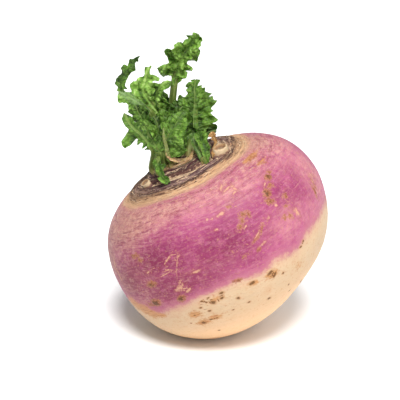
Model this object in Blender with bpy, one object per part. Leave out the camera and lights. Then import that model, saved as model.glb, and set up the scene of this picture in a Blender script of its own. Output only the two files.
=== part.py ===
"""A purple-top turnip on a small flat spot, its crown leaning to -X, with a tuft of young leaves.

The root is a turned solid in its own frame, with +Z along its axis towards the crown and the origin
near the widest part. The object is leaned over and stands on a flat cut across its underside. Each
leaf, cut stalk and dry leaf is a solid of its own, whose origin is its foot on the crown.
World frame: metres, +Z up, the origin at the middle of the flat spot.
"""

import math

import bmesh
import bpy
from mathutils import Matrix, Vector

MM = 0.001

# Driving dimensions, in millimetres and degrees
LEAN = 25.3  # how far the crown leans over to -X
REST_CUT = 2.1  # how much of the rounded underside the flat spot takes off
CROWN_TIP = 39.6  # height of the crown's middle above the root's origin, along its axis
FOOT_GAP = 0.4  # clear gap between a stalk's foot and the crown
FOOT_REACH = 2.0  # how far round a foot the crown is felt for, to stand clear of its terraces
FOOT_RISE = 1.6  # how far a stalk runs straight out of the crown before it bends
LEAF_CUP = 0.16  # how far a leaf's edges come forward, as a share of its half width
STALK_DEPTH = 1.5  # a stalk's thickness at its foot, over its half width
STALK_TAPER = 0.5  # how much thinner a stalk is where its blade begins
BLADE_THICKNESS = 0.9
RIB_THICKNESS = 0.9  # how much thicker a blade is where it begins, for its stout midrib
RIB_FADE = 3  # a blade's length, over the length in which that extra thickness runs out
EDGE_THINNING = 0.4  # how much thinner a leaf is halfway out than a slab would be, as a share
BLADE_ARC = (0.08, 0.94)  # a blade's outline is this stretch of a half sine wave, as shares of it
BLADE_FULLNESS = 0.6  # the power that the half sine is raised to: lower makes a squarer blade
LOBE_DEPTH = 0.11  # how far the gaps between the lobes swing in and out, as a share of the reach

# How fine the faces are
ROOT_SEGMENTS = 72  # round the root
FLANK_STEP = 4.0  # down the root's flank
LEAF_STEP = 1.7  # along a leaf
STUB_SEGMENTS = 20  # round a cut stalk
SHARP_EDGE = 30  # degrees; flatter edges are shaded smooth

# Half sections of the root as (radius, height along the axis). The crown is terraced by old leaf rings.
CROWN_SECTION = [
    (6.0, 39.0),
    (10.6, 37.8),
    (12.8, 36.5),
    (14.6, 36.4),
    (16.8, 35.2),
    (19.2, 35.0),
    (21.2, 33.6),
    (23.2, 33.4),
    (25.2, 32.0),
]
FLANK_SECTION = [
    (27.8, 31.4),
    (32.4, 29.2),
    (37.5, 25.3),
    (41.4, 20.2),
    (43.7, 14.2),
    (44.7, 7.9),
    (44.5, 1.6),
    (43.5, -4.6),
    (41.6, -10.4),
    (38.8, -15.7),
    (35.2, -20.3),
    (31.0, -24.2),
    (26.6, -27.5),
    (22.0, -30.2),
    (17.2, -32.3),
    (12.3, -33.9),
    (7.4, -34.9),
    (5.0, -35.5),
    (4.2, -36.6),
    (3.2, -37.1),
]

# How far the skin stands out on the side away from the lean, and in on the other: the weights of the
# sines of one, two and three times the angle down from the crown
SKEW = (0.1, 1.8, -0.9)

# The leaves. foot is (radius, angle) on the crown, the angle from the side away from the lean. path runs
# on from the foot, from the crown's middle in world axes. stalk is the stalk's half width. blade is how
# far the blade reaches to the viewer's left and right of its midrib, seen from where it faces. starts is
# the share of the length where the blade begins. lobes is how many lobes each side has.
LEAVES = {
    "leaf_tall": {
        "foot": (4.0, 100),
        "path": [
            (-1.6, 4, 12.5),
            (-1.3, 4, 22.7),
            (-0.2, 3.8, 29.4),
            (2.2, 3, 35.4),
            (5.8, 1, 41.6),
            (8.4, 0, 45.2),
        ],
        "stalk": 1.3,
        "blade": (6.4, 6.4),
        "starts": 0.55,
        "lobes": 3,
        "face": (0.1, -1, 0.2),
    },
    "leaf_right": {
        "foot": (9.0, -38),
        "path": [(6.0, -3.4, 7.5), (6.4, -1.4, 13.4), (6.8, 0, 19.3), (6.9, 1, 23.4), (7.0, 2.5, 27.6)],
        "stalk": 1.5,
        "blade": (5.4, 8.0),
        "starts": 0.22,
        "lobes": 4,
        "face": (0.1, -1, 0.3),
    },
    "leaf_front": {
        "foot": (8.6, -102),
        "path": [(-3.4, -10.6, 4.4), (-3.8, -11.3, 8.6), (-1.8, -11.5, 13.2), (2.6, -10, 18.6)],
        "stalk": 1.5,
        "blade": (3.6, 5.6),
        "starts": 0.25,
        "lobes": 3,
        "face": (0.15, -1, 0.2),
    },
    "leaf_front_left": {
        "foot": (9.4, -132),
        "path": [(-6.3, -8.8, 4.6), (-8.2, -9, 9.5), (-11.0, -8.5, 14.3), (-13.0, -8, 17.4)],
        "stalk": 1.4,
        "blade": (3.4, 3.4),
        "starts": 0.25,
        "lobes": 3,
        "face": (-0.3, -1, 0.2),
    },
    "leaf_upper_left": {
        "foot": (4.8, 170),
        "path": [
            (-6.3, -1.2, 8.0),
            (-9.2, -2, 15.8),
            (-11.4, -2.5, 22.8),
            (-11.8, -1.8, 27.6),
            (-9.8, 0, 33.7),
        ],
        "stalk": 1.5,
        "blade": (4.8, 4.4),
        "starts": 0.36,
        "lobes": 4,
        "face": (-0.3, -1, 0.4),
    },
    "leaf_curled_left": {
        "foot": (8.6, -177),
        "path": [
            (-10.2, -3.8, 7.0),
            (-13.6, -4.6, 15.0),
            (-18.3, -4.6, 20.8),
            (-21.2, -4.3, 25.4),
            (-20.9, -3.5, 30.1),
            (-17.8, -3, 34.2),
            (-14.0, -2.5, 37.6),
        ],
        "stalk": 1.3,
        "blade": (2.4, 2.4),
        "starts": 0.38,
        "lobes": 5,
        "face": (-0.2, -1, 0.3),
    },
    "leaf_low_left": {
        "foot": (10.6, -164),
        "path": [(-9.8, -7, 1.5), (-12.7, -7.8, 7.3), (-16.4, -8, 11.8), (-19.8, -7, 16.4)],
        "stalk": 1.2,
        "blade": (2.6, 2.2),
        "starts": 0.35,
        "lobes": 3,
        "face": (-0.1, -1, 0.3),
    },
    "leaf_drooping": {
        "foot": (12.0, -132),
        "path": [(-7.0, -11.6, -2.6), (-6.1, -14.2, -4.6), (-4.8, -17, -5.8), (-2.8, -19.8, -6.4)],
        "stalk": 1.1,
        "blade": (1.9, 1.9),
        "starts": 0.2,
        "lobes": 3,
        "face": (-0.3, -0.6, 1),
    },
    "leaf_young_right": {
        "foot": (17.4, -57),
        "path": [(10.3, -13.4, 3.6), (9.8, -11.4, 7.6), (9.0, -9.4, 12.4)],
        "stalk": 1.5,
        "blade": (2.0, 2.3),
        "starts": 0.15,
        "lobes": 2,
        "face": (0.2, -1, 0.2),
    },
    "leaf_back_left": {
        "foot": (8.6, 132),
        "path": [(-5.2, 7.4, 6.5), (-5.8, 8.0, 13.4), (-6.4, 7.8, 19.4), (-7.0, 7.2, 25.4)],
        "stalk": 1.4,
        "blade": (4.6, 4.4),
        "starts": 0.3,
        "lobes": 3,
        "face": (-0.1, -1, 0.1),
    },
    "leaf_back_right": {
        "foot": (8.4, 35),
        "path": [(8.4, 6.4, 8.2), (10.2, 7.4, 13.4), (11.8, 7.8, 17.6), (13.4, 7.4, 21.6)],
        "stalk": 1.4,
        "blade": (4.2, 3.4),
        "starts": 0.3,
        "lobes": 3,
        "face": (0.1, -1, 0.4),
    },
    "leaf_back": {
        "foot": (9.4, 80),
        "path": [(1.6, 11.2, 4.9), (1.9, 13.2, 9.8), (2.6, 14.6, 14.0)],
        "stalk": 1.4,
        "blade": (4.4, 4.4),
        "starts": 0.35,
        "lobes": 3,
        "face": (0, 1, 0.5),
    },
    "leaf_inner": {
        "foot": (3.4, -60),
        "path": [(1.6, -4.4, 7.0), (1.2, -4.4, 13.0), (0.2, -3.2, 19.5)],
        "stalk": 1.2,
        "blade": (3.0, 2.8),
        "starts": 0.35,
        "lobes": 3,
        "face": (0, -1, 0.2),
    },
}

# Withered leaves, in the same terms
DRY_LEAVES = {
    "dry_leaf_right": {
        "foot": (17.0, -38),
        "path": [(13.6, -8.6, 5.4), (13.5, -7.4, 7.8), (14.0, -6.4, 9.8)],
        "stalk": 1.0,
        "blade": (1.3, 1.2),
        "starts": 0.3,
        "lobes": 1,
        "face": (0.2, -1, 0),
    },
    "dry_leaf_back": {
        "foot": (15.4, 62),
        "path": [(7.4, 14.8, 4.6), (7.0, 16.0, 7.0), (7.6, 17.4, 9.0)],
        "stalk": 1.0,
        "blade": (1.4, 1.4),
        "starts": 0.3,
        "lobes": 1,
        "face": (0.2, 1, 0.2),
    },
}

# The stumps of cut leaf stalks. half is their half width round the crown and down its slope.
CUT_STALKS = {
    "cut_stalk_right": {"foot": (19.2, -24), "half": (3.4, 2.4), "height": 3.0},
    "cut_stalk_back": {"foot": (15.6, 128), "half": (2.9, 2.0), "height": 2.2},
    "cut_stalk_left": {"foot": (17.0, -152), "half": (2.6, 1.7), "height": 1.2},
}
# A stump's side and dished top, as shares of its height and of its half width
STUMP_SECTION = [(0, 1.15), (0.5, 1.04), (1, 1), (1, 0.74), (0.72, 0.6)]

# The corners of a leaf's cross-section: how far out from the midrib, and front (1), back (-1) or edge (0)
LEAF_CORNERS = [(-1, 0), (-0.5, 1), (0, 1), (0.5, 1), (1, 0), (0.5, -1), (0, -1), (-0.5, -1)]

# Colour and roughness of each kind of surface
SKIN = ((0.55, 0.16, 0.3, 1), 0.45)
LEAF_GREEN = ((0.13, 0.27, 0.05, 1), 0.5)
WITHERED = ((0.42, 0.25, 0.1, 1), 0.8)
CUT_FACE = ((0.68, 0.55, 0.34, 1), 0.7)


def clear_scene():
    """Removes every object."""
    for old in list(bpy.data.objects):
        bpy.data.objects.remove(old)


def add_object(name, bm, surface):
    """A named object with a material of its own, shaded smooth but for its sharp edges."""
    colour, roughness = surface
    finish = bpy.data.materials.new(name)
    finish.use_nodes = True
    shader = finish.node_tree.nodes["Principled BSDF"]
    shader.inputs["Base Color"].default_value = colour
    shader.inputs["Roughness"].default_value = roughness
    shader.inputs["Metallic"].default_value = 0.0
    bmesh.ops.recalc_face_normals(bm, faces=bm.faces)
    mesh = bpy.data.meshes.new(name)
    bm.to_mesh(mesh)
    bm.free()
    mesh.shade_smooth()
    mesh.set_sharp_from_angle(angle=math.radians(SHARP_EDGE))
    mesh.materials.append(finish)
    made = bpy.data.objects.new(name, mesh)
    bpy.context.scene.collection.objects.link(made)
    return made


def smooth_line(points, step):
    """Points about one step apart on the Catmull-Rom curve through the given points."""
    given = [Vector(p) for p in points]
    ends = [2 * given[0] - given[1], *given, 2 * given[-1] - given[-2]]
    line = []
    for a, b, c, d in zip(ends, ends[1:], ends[2:], ends[3:]):
        count = max(1, round((c - b).length / step))
        for i in range(count):
            t = i / count
            bend = (2 * a - 5 * b + 4 * c - d) * t**2 + (3 * b - a - 3 * c + d) * t**3
            line.append(b + (c - a) * t / 2 + bend / 2)
    return [*line, given[-1]]


def on_root(radius, height, angle):
    """A point of the root in its own frame: its section's point, moved by the skew."""
    down = math.atan2(radius, height)
    reach = math.hypot(radius, height)
    reach += math.cos(angle) * sum(s * math.sin((k + 1) * down) for k, s in enumerate(SKEW))
    out = reach * math.sin(down)
    return Vector((out * math.cos(angle), out * math.sin(angle), reach * math.cos(down)))


def crown_height(radius):
    """Height of the crown's section at a radius."""
    section = [(0.0, CROWN_TIP), *CROWN_SECTION, FLANK_SECTION[0]]
    for (r0, z0), (r1, z1) in zip(section, section[1:]):
        if radius <= r1:
            return z0 + (z1 - z0) * (radius - r0) / (r1 - r0)
    return section[-1][1]


def join_rings(bm, rings):
    """Faces between each closed ring of vertices and the next."""
    for a, b in zip(rings, rings[1:]):
        for j in range(len(a)):
            k = (j + 1) % len(a)
            bm.faces.new((a[j], b[j], b[k], a[k]))


def turned_root():
    """The whole root in its own frame, before its flat spot is cut."""
    flank = smooth_line([(r, z, 0) for r, z in FLANK_SECTION], FLANK_STEP)
    section = [*CROWN_SECTION, *((p.x, p.y) for p in flank)]
    angles = [2 * math.pi * j / ROOT_SEGMENTS for j in range(ROOT_SEGMENTS)]
    bm = bmesh.new()
    rings = []
    for radius, height in section:
        rings.append([bm.verts.new(on_root(radius, height, angle) * MM) for angle in angles])
    join_rings(bm, rings)
    middle = bm.verts.new((0, 0, CROWN_TIP * MM))
    for j in range(ROOT_SEGMENTS):
        bm.faces.new((rings[0][j], rings[0][(j + 1) % ROOT_SEGMENTS], middle))
    bm.faces.new(rings[-1])
    return bm


def make_root():
    """The root, cut level across its lowest side, leaned over and stood on the cut. Returns its matrix."""
    bm = turned_root()
    leaned = Matrix.Rotation(math.radians(-LEAN), 4, "Y")
    floor = min((leaned @ v.co).z for v in bm.verts) + REST_CUT * MM
    upright = leaned.inverted()
    cut = bmesh.ops.bisect_plane(
        bm,
        geom=[*bm.verts, *bm.edges, *bm.faces],
        plane_co=upright @ Vector((0, 0, floor)),
        plane_no=upright @ Vector((0, 0, -1)),
        clear_outer=True,
    )
    rim = [e for e in cut["geom_cut"] if isinstance(e, bmesh.types.BMEdge)]
    bmesh.ops.edgeloop_fill(bm, edges=rim)
    ends = [(leaned @ v.co).x for e in rim for v in e.verts]
    root = add_object("root", bm, SKIN)
    root.location = (-(min(ends) + max(ends)) / 2, 0, -floor)
    root.rotation_euler = (0, math.radians(-LEAN), 0)
    return Matrix.Translation(root.location) @ leaned


def foot_on_crown(foot, placing):
    """Where a stalk stands, in world axes and millimetres, and the way straight out of the crown there."""
    radius, degrees = foot
    angle = math.radians(degrees)
    fall = crown_height(radius - FOOT_REACH) - crown_height(radius + FOOT_REACH)
    slope = fall / (2 * FOOT_REACH)
    felt = (-FOOT_REACH, -FOOT_REACH / 2, 0, FOOT_REACH / 2, FOOT_REACH)
    height = max(crown_height(radius + d) + slope * d for d in felt)
    out = Vector((slope * math.cos(angle), slope * math.sin(angle), 1)).normalized()
    spot = on_root(radius, height, angle) + out * FOOT_GAP
    return placing @ (spot * MM) / MM, placing.to_3x3() @ out


def widths_at(share, leaf):
    """How far a leaf reaches to each side, and how thick it is, at a share of its length."""
    if share <= leaf["starts"]:
        thick = STALK_DEPTH * leaf["stalk"] - STALK_TAPER * share / leaf["starts"]
        return (leaf["stalk"], leaf["stalk"]), thick
    along = (share - leaf["starts"]) / (1 - leaf["starts"])
    first, last = BLADE_ARC
    swell = math.sin(math.pi * (first + (last - first) * along)) ** BLADE_FULLNESS
    notch = 1 - LOBE_DEPTH * (1 + math.cos(2 * math.pi * leaf["lobes"] * along))
    narrowest = leaf["stalk"] * (1 - along)
    reach = [max(narrowest, side * swell * notch) for side in leaf["blade"]]
    return reach, BLADE_THICKNESS + RIB_THICKNESS * max(0.0, 1 - RIB_FADE * along)


def leaf_ring(bm, point, left, front, reach, thick):
    """The eight corners of a leaf's cross-section, thickest in the middle and a little cupped."""
    ring = []
    for across, side in LEAF_CORNERS:
        wide = reach[0] if across < 0 else reach[1]
        forward = side * thick / 2 * (1 - EDGE_THINNING * abs(across)) + LEAF_CUP * wide * across**2
        ring.append(bm.verts.new((point - left * across * wide + front * forward) * MM))
    return ring


def make_leaf(name, leaf, surface, crown, placing):
    """A leaf as one solid: its stalk and lobed blade, lofted along the midrib. Its parent is the crown."""
    middle = crown.location / MM
    foot, rise = foot_on_crown(leaf["foot"], placing)
    path = [Vector(p) + middle - foot for p in leaf["path"]]
    line = smooth_line([Vector(), rise * FOOT_RISE, *path], LEAF_STEP)
    lengths = [0.0]
    for a, b in zip(line, line[1:]):
        lengths.append(lengths[-1] + (b - a).length)
    aheads = [rise, *(b - a for a, b in zip(line, line[2:])), line[-1] - line[-2]]
    face = Vector(leaf["face"])
    bm = bmesh.new()
    rings = []
    for point, length, ahead in zip(line, lengths, aheads):
        left = face.cross(ahead).normalized()
        front = ahead.cross(left).normalized()
        reach, thick = widths_at(length / lengths[-1], leaf)
        rings.append(leaf_ring(bm, point, left, front, reach, thick))
    join_rings(bm, rings)
    bm.faces.new(rings[0])
    bm.faces.new(rings[-1])
    made = add_object(name, bm, surface)
    made.parent = crown
    made.location = (foot - middle) * MM


def make_cut_stalk(name, stalk, crown, placing):
    """The oval stump of a cut leaf stalk, dished on top. Its parent is the crown."""
    foot, out = foot_on_crown(stalk["foot"], placing)
    angle = math.radians(stalk["foot"][1])
    along_ring = placing.to_3x3() @ Vector((-math.sin(angle), math.cos(angle), 0))
    up_slope = out.cross(along_ring)
    half_long, half_wide = stalk["half"]
    bm = bmesh.new()
    rings = []
    for height, size in STUMP_SECTION:
        ring = []
        for j in range(STUB_SEGMENTS):
            turn = 2 * math.pi * j / STUB_SEGMENTS
            across = along_ring * half_long * math.cos(turn) + up_slope * half_wide * math.sin(turn)
            ring.append(bm.verts.new((across * size + out * height * stalk["height"]) * MM))
        rings.append(ring)
    join_rings(bm, rings)
    bm.faces.new(rings[0])
    bm.faces.new(rings[-1])
    made = add_object(name, bm, CUT_FACE)
    made.parent = crown
    made.location = foot * MM - crown.location


def main():
    """Builds the root, then everything that grows on its crown."""
    clear_scene()
    placing = make_root()
    crown = bpy.data.objects.new("crown_middle", None)
    crown.location = placing @ Vector((0, 0, CROWN_TIP * MM))
    bpy.context.scene.collection.objects.link(crown)
    for name, leaf in LEAVES.items():
        make_leaf(name, leaf, LEAF_GREEN, crown, placing)
    for name, leaf in DRY_LEAVES.items():
        make_leaf(name, leaf, WITHERED, crown, placing)
    for name, stalk in CUT_STALKS.items():
        make_cut_stalk(name, stalk, crown, placing)


main()
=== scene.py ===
"""Looks of a purple-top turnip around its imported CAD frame: a root with a scarred, ringed crown and a
tuft of young crinkled leaves.

Lengths are in millimetres until a mesh or a node needs metres. The root's own frame has +Z along its
axis towards the crown. Angles go round that axis from the side away from the lean.
"""

import math

import bpy
import numpy as np
from mathutils import Matrix, Vector


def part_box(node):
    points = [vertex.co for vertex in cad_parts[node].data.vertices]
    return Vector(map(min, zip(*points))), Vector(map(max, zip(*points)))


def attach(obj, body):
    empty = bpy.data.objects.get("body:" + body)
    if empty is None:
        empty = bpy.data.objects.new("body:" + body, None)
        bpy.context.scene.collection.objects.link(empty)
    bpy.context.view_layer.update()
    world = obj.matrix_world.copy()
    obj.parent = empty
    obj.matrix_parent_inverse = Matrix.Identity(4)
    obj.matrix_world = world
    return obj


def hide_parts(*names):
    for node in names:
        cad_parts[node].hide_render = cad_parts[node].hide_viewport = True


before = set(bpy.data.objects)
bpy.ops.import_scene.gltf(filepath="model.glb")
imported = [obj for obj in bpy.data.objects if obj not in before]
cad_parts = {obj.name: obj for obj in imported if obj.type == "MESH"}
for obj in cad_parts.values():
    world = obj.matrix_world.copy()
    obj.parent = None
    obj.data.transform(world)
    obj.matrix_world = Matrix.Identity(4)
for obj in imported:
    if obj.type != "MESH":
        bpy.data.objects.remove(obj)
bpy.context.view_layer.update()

MM = 0.001
TAU = 2 * math.pi
STUDIO_SHARE = 0.55  # how much darker a material is than it looks in the bright studio

# The root's place, as in the CAD
LEAN = math.radians(-25.3)
root_low, root_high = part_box("root")
TO_SIDE, TO_REST = 42.05, 37.07  # from the section's zero to the root's end on the right, and to its rest
MIDDLE_Y = (root_low.y + root_high.y) / 2
ORIGIN = np.array([root_high.x / MM - TO_SIDE, MIDDLE_Y / MM, root_low.z / MM + TO_REST])
TO_WORLD = np.array(Matrix.Rotation(LEAN, 3, "Y"))
CROWN_TIP = 39.6
CROWN = ORIGIN + TO_WORLD @ (0, 0, CROWN_TIP)

# Half section of the root as (radius, height along the axis), and its skew. These points and the skew are
# a fit's output, mostly one point for each 8 degrees down from the crown, not driving dimensions.
# LEAN and the camera's place come from the same fit.
SECTION = [
    (0, 39.6), (5.5, 39), (10.7, 37.4), (15.8, 35.5), (21.1, 33.7), (27.8, 31.4), (32.4, 29.2),
    (37.5, 25.3), (41.4, 20.2), (43.7, 14.2), (44.7, 7.9), (44.5, 1.6), (43.5, -4.6), (41.6, -10.4),
    (38.8, -15.7), (35.2, -20.3), (31, -24.2), (26.6, -27.5), (22, -30.2), (17.2, -32.3), (12.3, -33.9),
    (7.4, -34.9), (5, -35.6), (3.6, -36.6), (1.8, -37), (0, -37.1),
]
SKEW = (0.1, 1.8, -0.9)
ROUND = 400  # faces round the root
CROWN_STEP, FLANK_STEP, CROWN_EDGE = 0.3, 0.72, 32.0

# Relief of the crown: (distance down from the crown's middle, how far it stands out)
RING_RELIEF = [
    (0, 0), (9.6, 0.3), (10.6, 0.6), (11.5, 0.1), (12.2, 0.35), (13, -0.35), (14, -0.3), (15, 0.25),
    (16.2, -0.7), (17.4, 0.7), (19, 0.8), (20.3, -0.5), (21.2, 0.15), (22.2, -0.3), (23, 0.1), (24.8, -0.8),
    (25.9, 0.35), (28, 0.45), (29.6, 0.1), (31, 0),
]
# How far the rings lie further out than that, at each angle
RING_WARP = [
    (-180, 1), (-150, 0.2), (-112, -0.6), (-75, 0.9), (-42, 0.4), (-20, -0.8), (5, -2.4),
    (60, -0.6), (120, 0.8),
]

# Where the purple ends: (angle, distance down from the crown's middle). Its places and the zones' ones were
# found in the same way as the marks' ones.
PURPLE_END = [
    (-180, 72), (-150, 71.2), (-132, 75.6), (-116, 73.4), (-97, 71.2), (-83, 71.2), (-72, 73.4),
    (-64, 71.2), (-50, 73.4), (-41, 70.4), (-30, 69.8), (-17, 68.4), (20, 72), (70, 71), (120, 75),
]


def scramble(x, y, z, seed):
    """A fixed number from -1 to 1 for each whole-numbered place, with no pattern to it."""
    mixed = (x * 73856093) ^ (y * 19349663) ^ (z * 83492791) ^ (seed * 2654435761)
    mixed = (mixed ^ (mixed >> 13)) * 1274126177 & 0x7FFFFFFF
    mixed = (mixed ^ (mixed >> 16)) * 668265263 & 0x7FFFFFFF
    return mixed / 0x3FFFFFFF - 1


def smooth_noise(points, size, seed):
    """Noise from -1 to 1 at each point, in soft lumps of about the given size."""
    cell = np.asarray(points, float) / size + np.array([0.37, 0.71, 0.13]) * (seed + 1) * 7.3
    base = np.floor(cell).astype(np.int64)
    part = cell - base
    part = part * part * (3 - 2 * part)
    total = np.zeros(cell.shape[:-1])
    for corner in np.ndindex(2, 2, 2):
        x, y, z = np.moveaxis(base + corner, -1, 0)
        weight = np.prod(np.where(np.array(corner, bool), part, 1 - part), axis=-1)
        total += weight * scramble(x, y, z, seed)
    return total


def between_cells(x, y, size, seed):
    """How far each point is from the border between its two nearest scattered cells, in cell sizes."""
    x, y = x / size, y / size
    nearest = np.full(x.shape, 9.0)
    second = nearest.copy()
    for dx in (-1, 0, 1):
        for dy in (-1, 0, 1):
            i, j = np.floor(x).astype(np.int64) + dx, np.floor(y).astype(np.int64) + dy
            away_x = i + 0.5 + 0.4 * scramble(i, j, 0 * i, seed) - x
            away_y = j + 0.5 + 0.4 * scramble(i, j, 0 * i + 1, seed) - y
            away = np.hypot(away_x, away_y)
            second = np.minimum(second, np.maximum(nearest, away))
            nearest = np.minimum(nearest, away)
    return second - nearest


def layered_noise(points, size, seed, layers=3):
    """Noise with finer layers on it, each half as big and half as strong."""
    total = sum(smooth_noise(points, size / 2**i, seed + 31 * i) / 2**i for i in range(layers))
    return total / (2 - 0.5 ** (layers - 1))


def around(table, degrees):
    """A table of (angle, value) read at any angle, without a jump where the circle closes."""
    angles, values = zip(*table)
    angles = np.array([angles[-1] - 360, *angles, angles[0] + 360], float)
    values = np.array([values[-1], *values, values[0]], float)
    return np.interp((degrees + 180) % 360 - 180, angles, values)


def curve_through(points, count):
    """Evenly spaced points on the Catmull-Rom curve through the given points."""
    given = np.array(points, float)
    ends = np.vstack([2 * given[0] - given[1], given, 2 * given[-1] - given[-2]])
    t = np.linspace(0, 1, 24, endpoint=False)[:, None]
    line = []
    for a, b, c, d in zip(ends, ends[1:], ends[2:], ends[3:]):
        bend = (2 * a - 5 * b + 4 * c - d) * t**2 + (3 * b - a - 3 * c + d) * t**3
        line.append(b + (c - a) * t / 2 + bend / 2)
    line = np.vstack([*line, given[-1]])
    reach = np.r_[0, np.cumsum(np.linalg.norm(np.diff(line, axis=0), axis=1))]
    even = np.linspace(0, reach[-1], count)
    return np.stack([np.interp(even, reach, line[:, k]) for k in range(line.shape[1])], -1), reach[-1]


def on_root(radius, height, angle):
    """Points of the root in its own frame, from its section's points and angles in radians."""
    down = np.arctan2(radius, height)
    reach = np.hypot(radius, height)
    reach = reach + np.cos(angle) * sum(s * np.sin((k + 1) * down) for k, s in enumerate(SKEW))
    out = reach * np.sin(down)
    return np.stack([out * np.cos(angle), out * np.sin(angle), reach * np.cos(down)], -1)


# Points read off the whole section, and how many of them are searched for a place on the crown
SECTION_STEPS, CROWN_STEPS = 900, 200
section_line, section_length = curve_through(SECTION, SECTION_STEPS)
section_down = np.linspace(0, section_length, SECTION_STEPS)


def root_point(down, degrees):
    """The smooth root's point, in its own frame, at a distance down from the crown's middle."""
    radius = np.interp(down, section_down, section_line[:, 0])
    height = np.interp(down, section_down, section_line[:, 1])
    return on_root(radius, height, np.radians(degrees))


def to_world(points):
    return np.asarray(points) @ TO_WORLD.T + ORIGIN


def grid_normals(points, closed):
    """Unit normals of a grid of points, whose second index may close on itself."""
    if closed:
        wide = np.concatenate([points[:, -1:], points, points[:, :1]], axis=1)
        across = wide[:, 2:] - wide[:, :-2]
    else:
        across = np.gradient(points, axis=1)
    normals = np.cross(np.gradient(points, axis=0), across)
    return normals / np.maximum(np.linalg.norm(normals, axis=-1, keepdims=True), 1e-9)


def grid_faces(rows, columns, closed, start=0, flip=False):
    """The faces between the points of a grid, numbered row by row."""
    i, j = np.meshgrid(np.arange(rows - 1), np.arange(columns - (not closed)), indexing="ij")
    k = (j + 1) % columns
    a, b = start + i * columns + j, start + (i + 1) * columns + j
    c, d = start + (i + 1) * columns + k, start + i * columns + k
    corners = (a, d, c, b) if flip else (a, b, c, d)
    return np.stack(corners, -1).reshape(-1, 4)


def fan(start, sides, tip, flip=False):
    """Triangles from a ring of points, numbered from start on, to one more point."""
    ring = [(start + j, start + (j + 1) % sides, tip) for j in range(sides)]
    return [(b, a, c) for a, b, c in ring] if flip else ring


def add_mesh(name, points, faces, values, material):
    """A smooth-shaded object from points in millimetres, with a value or a vector at each point."""
    mesh = bpy.data.meshes.new(name)
    mesh.from_pydata((np.asarray(points) * MM).tolist(), [], [list(map(int, f)) for f in faces])
    mesh.update()
    for key, value in values.items():
        value = np.asarray(value, np.float32)
        if value.ndim == 2:
            mesh.attributes.new(key, "FLOAT_VECTOR", "POINT").data.foreach_set("vector", value.ravel())
        else:
            mesh.attributes.new(key, "FLOAT", "POINT").data.foreach_set("value", value)
    mesh.shade_smooth()
    mesh.materials.append(material)
    made = bpy.data.objects.new(name, mesh)
    bpy.context.scene.collection.objects.link(made)
    return made


class Paint:
    """A material's nodes, with short ways to add to them."""

    def __init__(self, name):
        self.material = bpy.data.materials.new(name)
        self.material.use_nodes = True
        self.tree = self.material.node_tree
        self.shader = self.tree.nodes["Principled BSDF"]

    def add(self, kind, inputs=(), **settings):
        made = self.tree.nodes.new(kind)
        for key, value in settings.items():
            setattr(made, key, value)
        for key, value in dict(inputs).items():
            self.plug(made.inputs[key], value)
        return made

    def plug(self, socket, value):
        if isinstance(value, bpy.types.NodeSocket):
            self.tree.links.new(value, socket)
        else:
            socket.default_value = value

    def value(self, name):
        return self.add("ShaderNodeAttribute", attribute_name=name).outputs["Fac"]

    def place(self, name):
        return self.add("ShaderNodeAttribute", attribute_name=name).outputs["Vector"]

    def noise(self, place, scale, detail=2.0, rough=0.5, twist=0.0):
        inputs = {"Vector": place, "Scale": scale, "Detail": detail, "Roughness": rough, "Distortion": twist}
        return self.add("ShaderNodeTexNoise", inputs).outputs["Fac"]

    def sum(self, a, b, kind="ADD", limit=False):
        return self.add("ShaderNodeMath", {0: a, 1: b}, operation=kind, use_clamp=limit).outputs[0]

    def times(self, a, b):
        return self.sum(a, b, "MULTIPLY")

    def step(self, value, low, high):
        """From 0 at low to 1 at high, softly."""
        inputs = {"Value": value, "From Min": low, "From Max": high}
        return self.add("ShaderNodeMapRange", inputs, interpolation_type="SMOOTHSTEP").outputs[0]

    def ramp(self, value, stops):
        node = self.add("ShaderNodeValToRGB", {"Fac": value})
        band = node.color_ramp
        while len(band.elements) < len(stops):
            band.elements.new(0.5)
        for element, (where, shade) in zip(band.elements, stops):
            element.position = where
            element.color = colour(shade)
        return node.outputs["Color"]

    def mix(self, share, a, b):
        node = self.add("ShaderNodeMix", data_type="RGBA")
        for index, value in ((0, share), (6, a), (7, b)):
            if isinstance(value, tuple):
                value = colour(value)
            self.plug(node.inputs[index], value)
        return node.outputs[2]

    def swing(self, noise, amount):
        """A noise made to swing about 0, this far in all."""
        return self.times(self.sum(noise, -0.5), amount)

    def creases(self, noise):
        """How far a noise is from its middle value, which it takes along thin winding lines."""
        return self.sum(self.sum(noise, -0.5), 0.0, "ABSOLUTE")

    def layered(self, under, layers):
        """Colours laid one by one over what is under them, each as strong as its shares multiplied."""
        for shade, share, *more in layers:
            for other in more:
                share = self.times(share, other)
            under = self.mix(share, under, shade)
        return under

    def bump(self, height, depth, strength=1.0, under=None):
        inputs = {"Height": height, "Distance": depth * MM, "Strength": strength}
        if under is not None:
            inputs["Normal"] = under
        return self.add("ShaderNodeBump", inputs).outputs["Normal"]

    def grown(self, shade, rough, bumps, glow, reach, depth=1.0):
        """A plant's surface: how much light goes in, and how far each colour of it spreads there."""
        return self.finish(Base_Color=shade, Roughness=rough, Normal=bumps, Subsurface_Weight=glow,
                           Subsurface_Radius=reach, Subsurface_Scale=depth * MM, Specular_IOR_Level=0.2)

    def finish(self, **inputs):
        for key, value in inputs.items():
            self.plug(self.shader.inputs[key.replace("_", " ")], value)
        return self.material


def colour(shade, share=STUDIO_SHARE):
    """A material's linear colour from the 0-255 screen colour that it shows in the studio's bright light."""
    linear = [share * ((v / 255 + 0.055) / 1.055) ** 2.4 if v > 10 else v / 255 / 12.92 for v in shade[:3]]
    return (*linear, 1.0)


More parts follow.
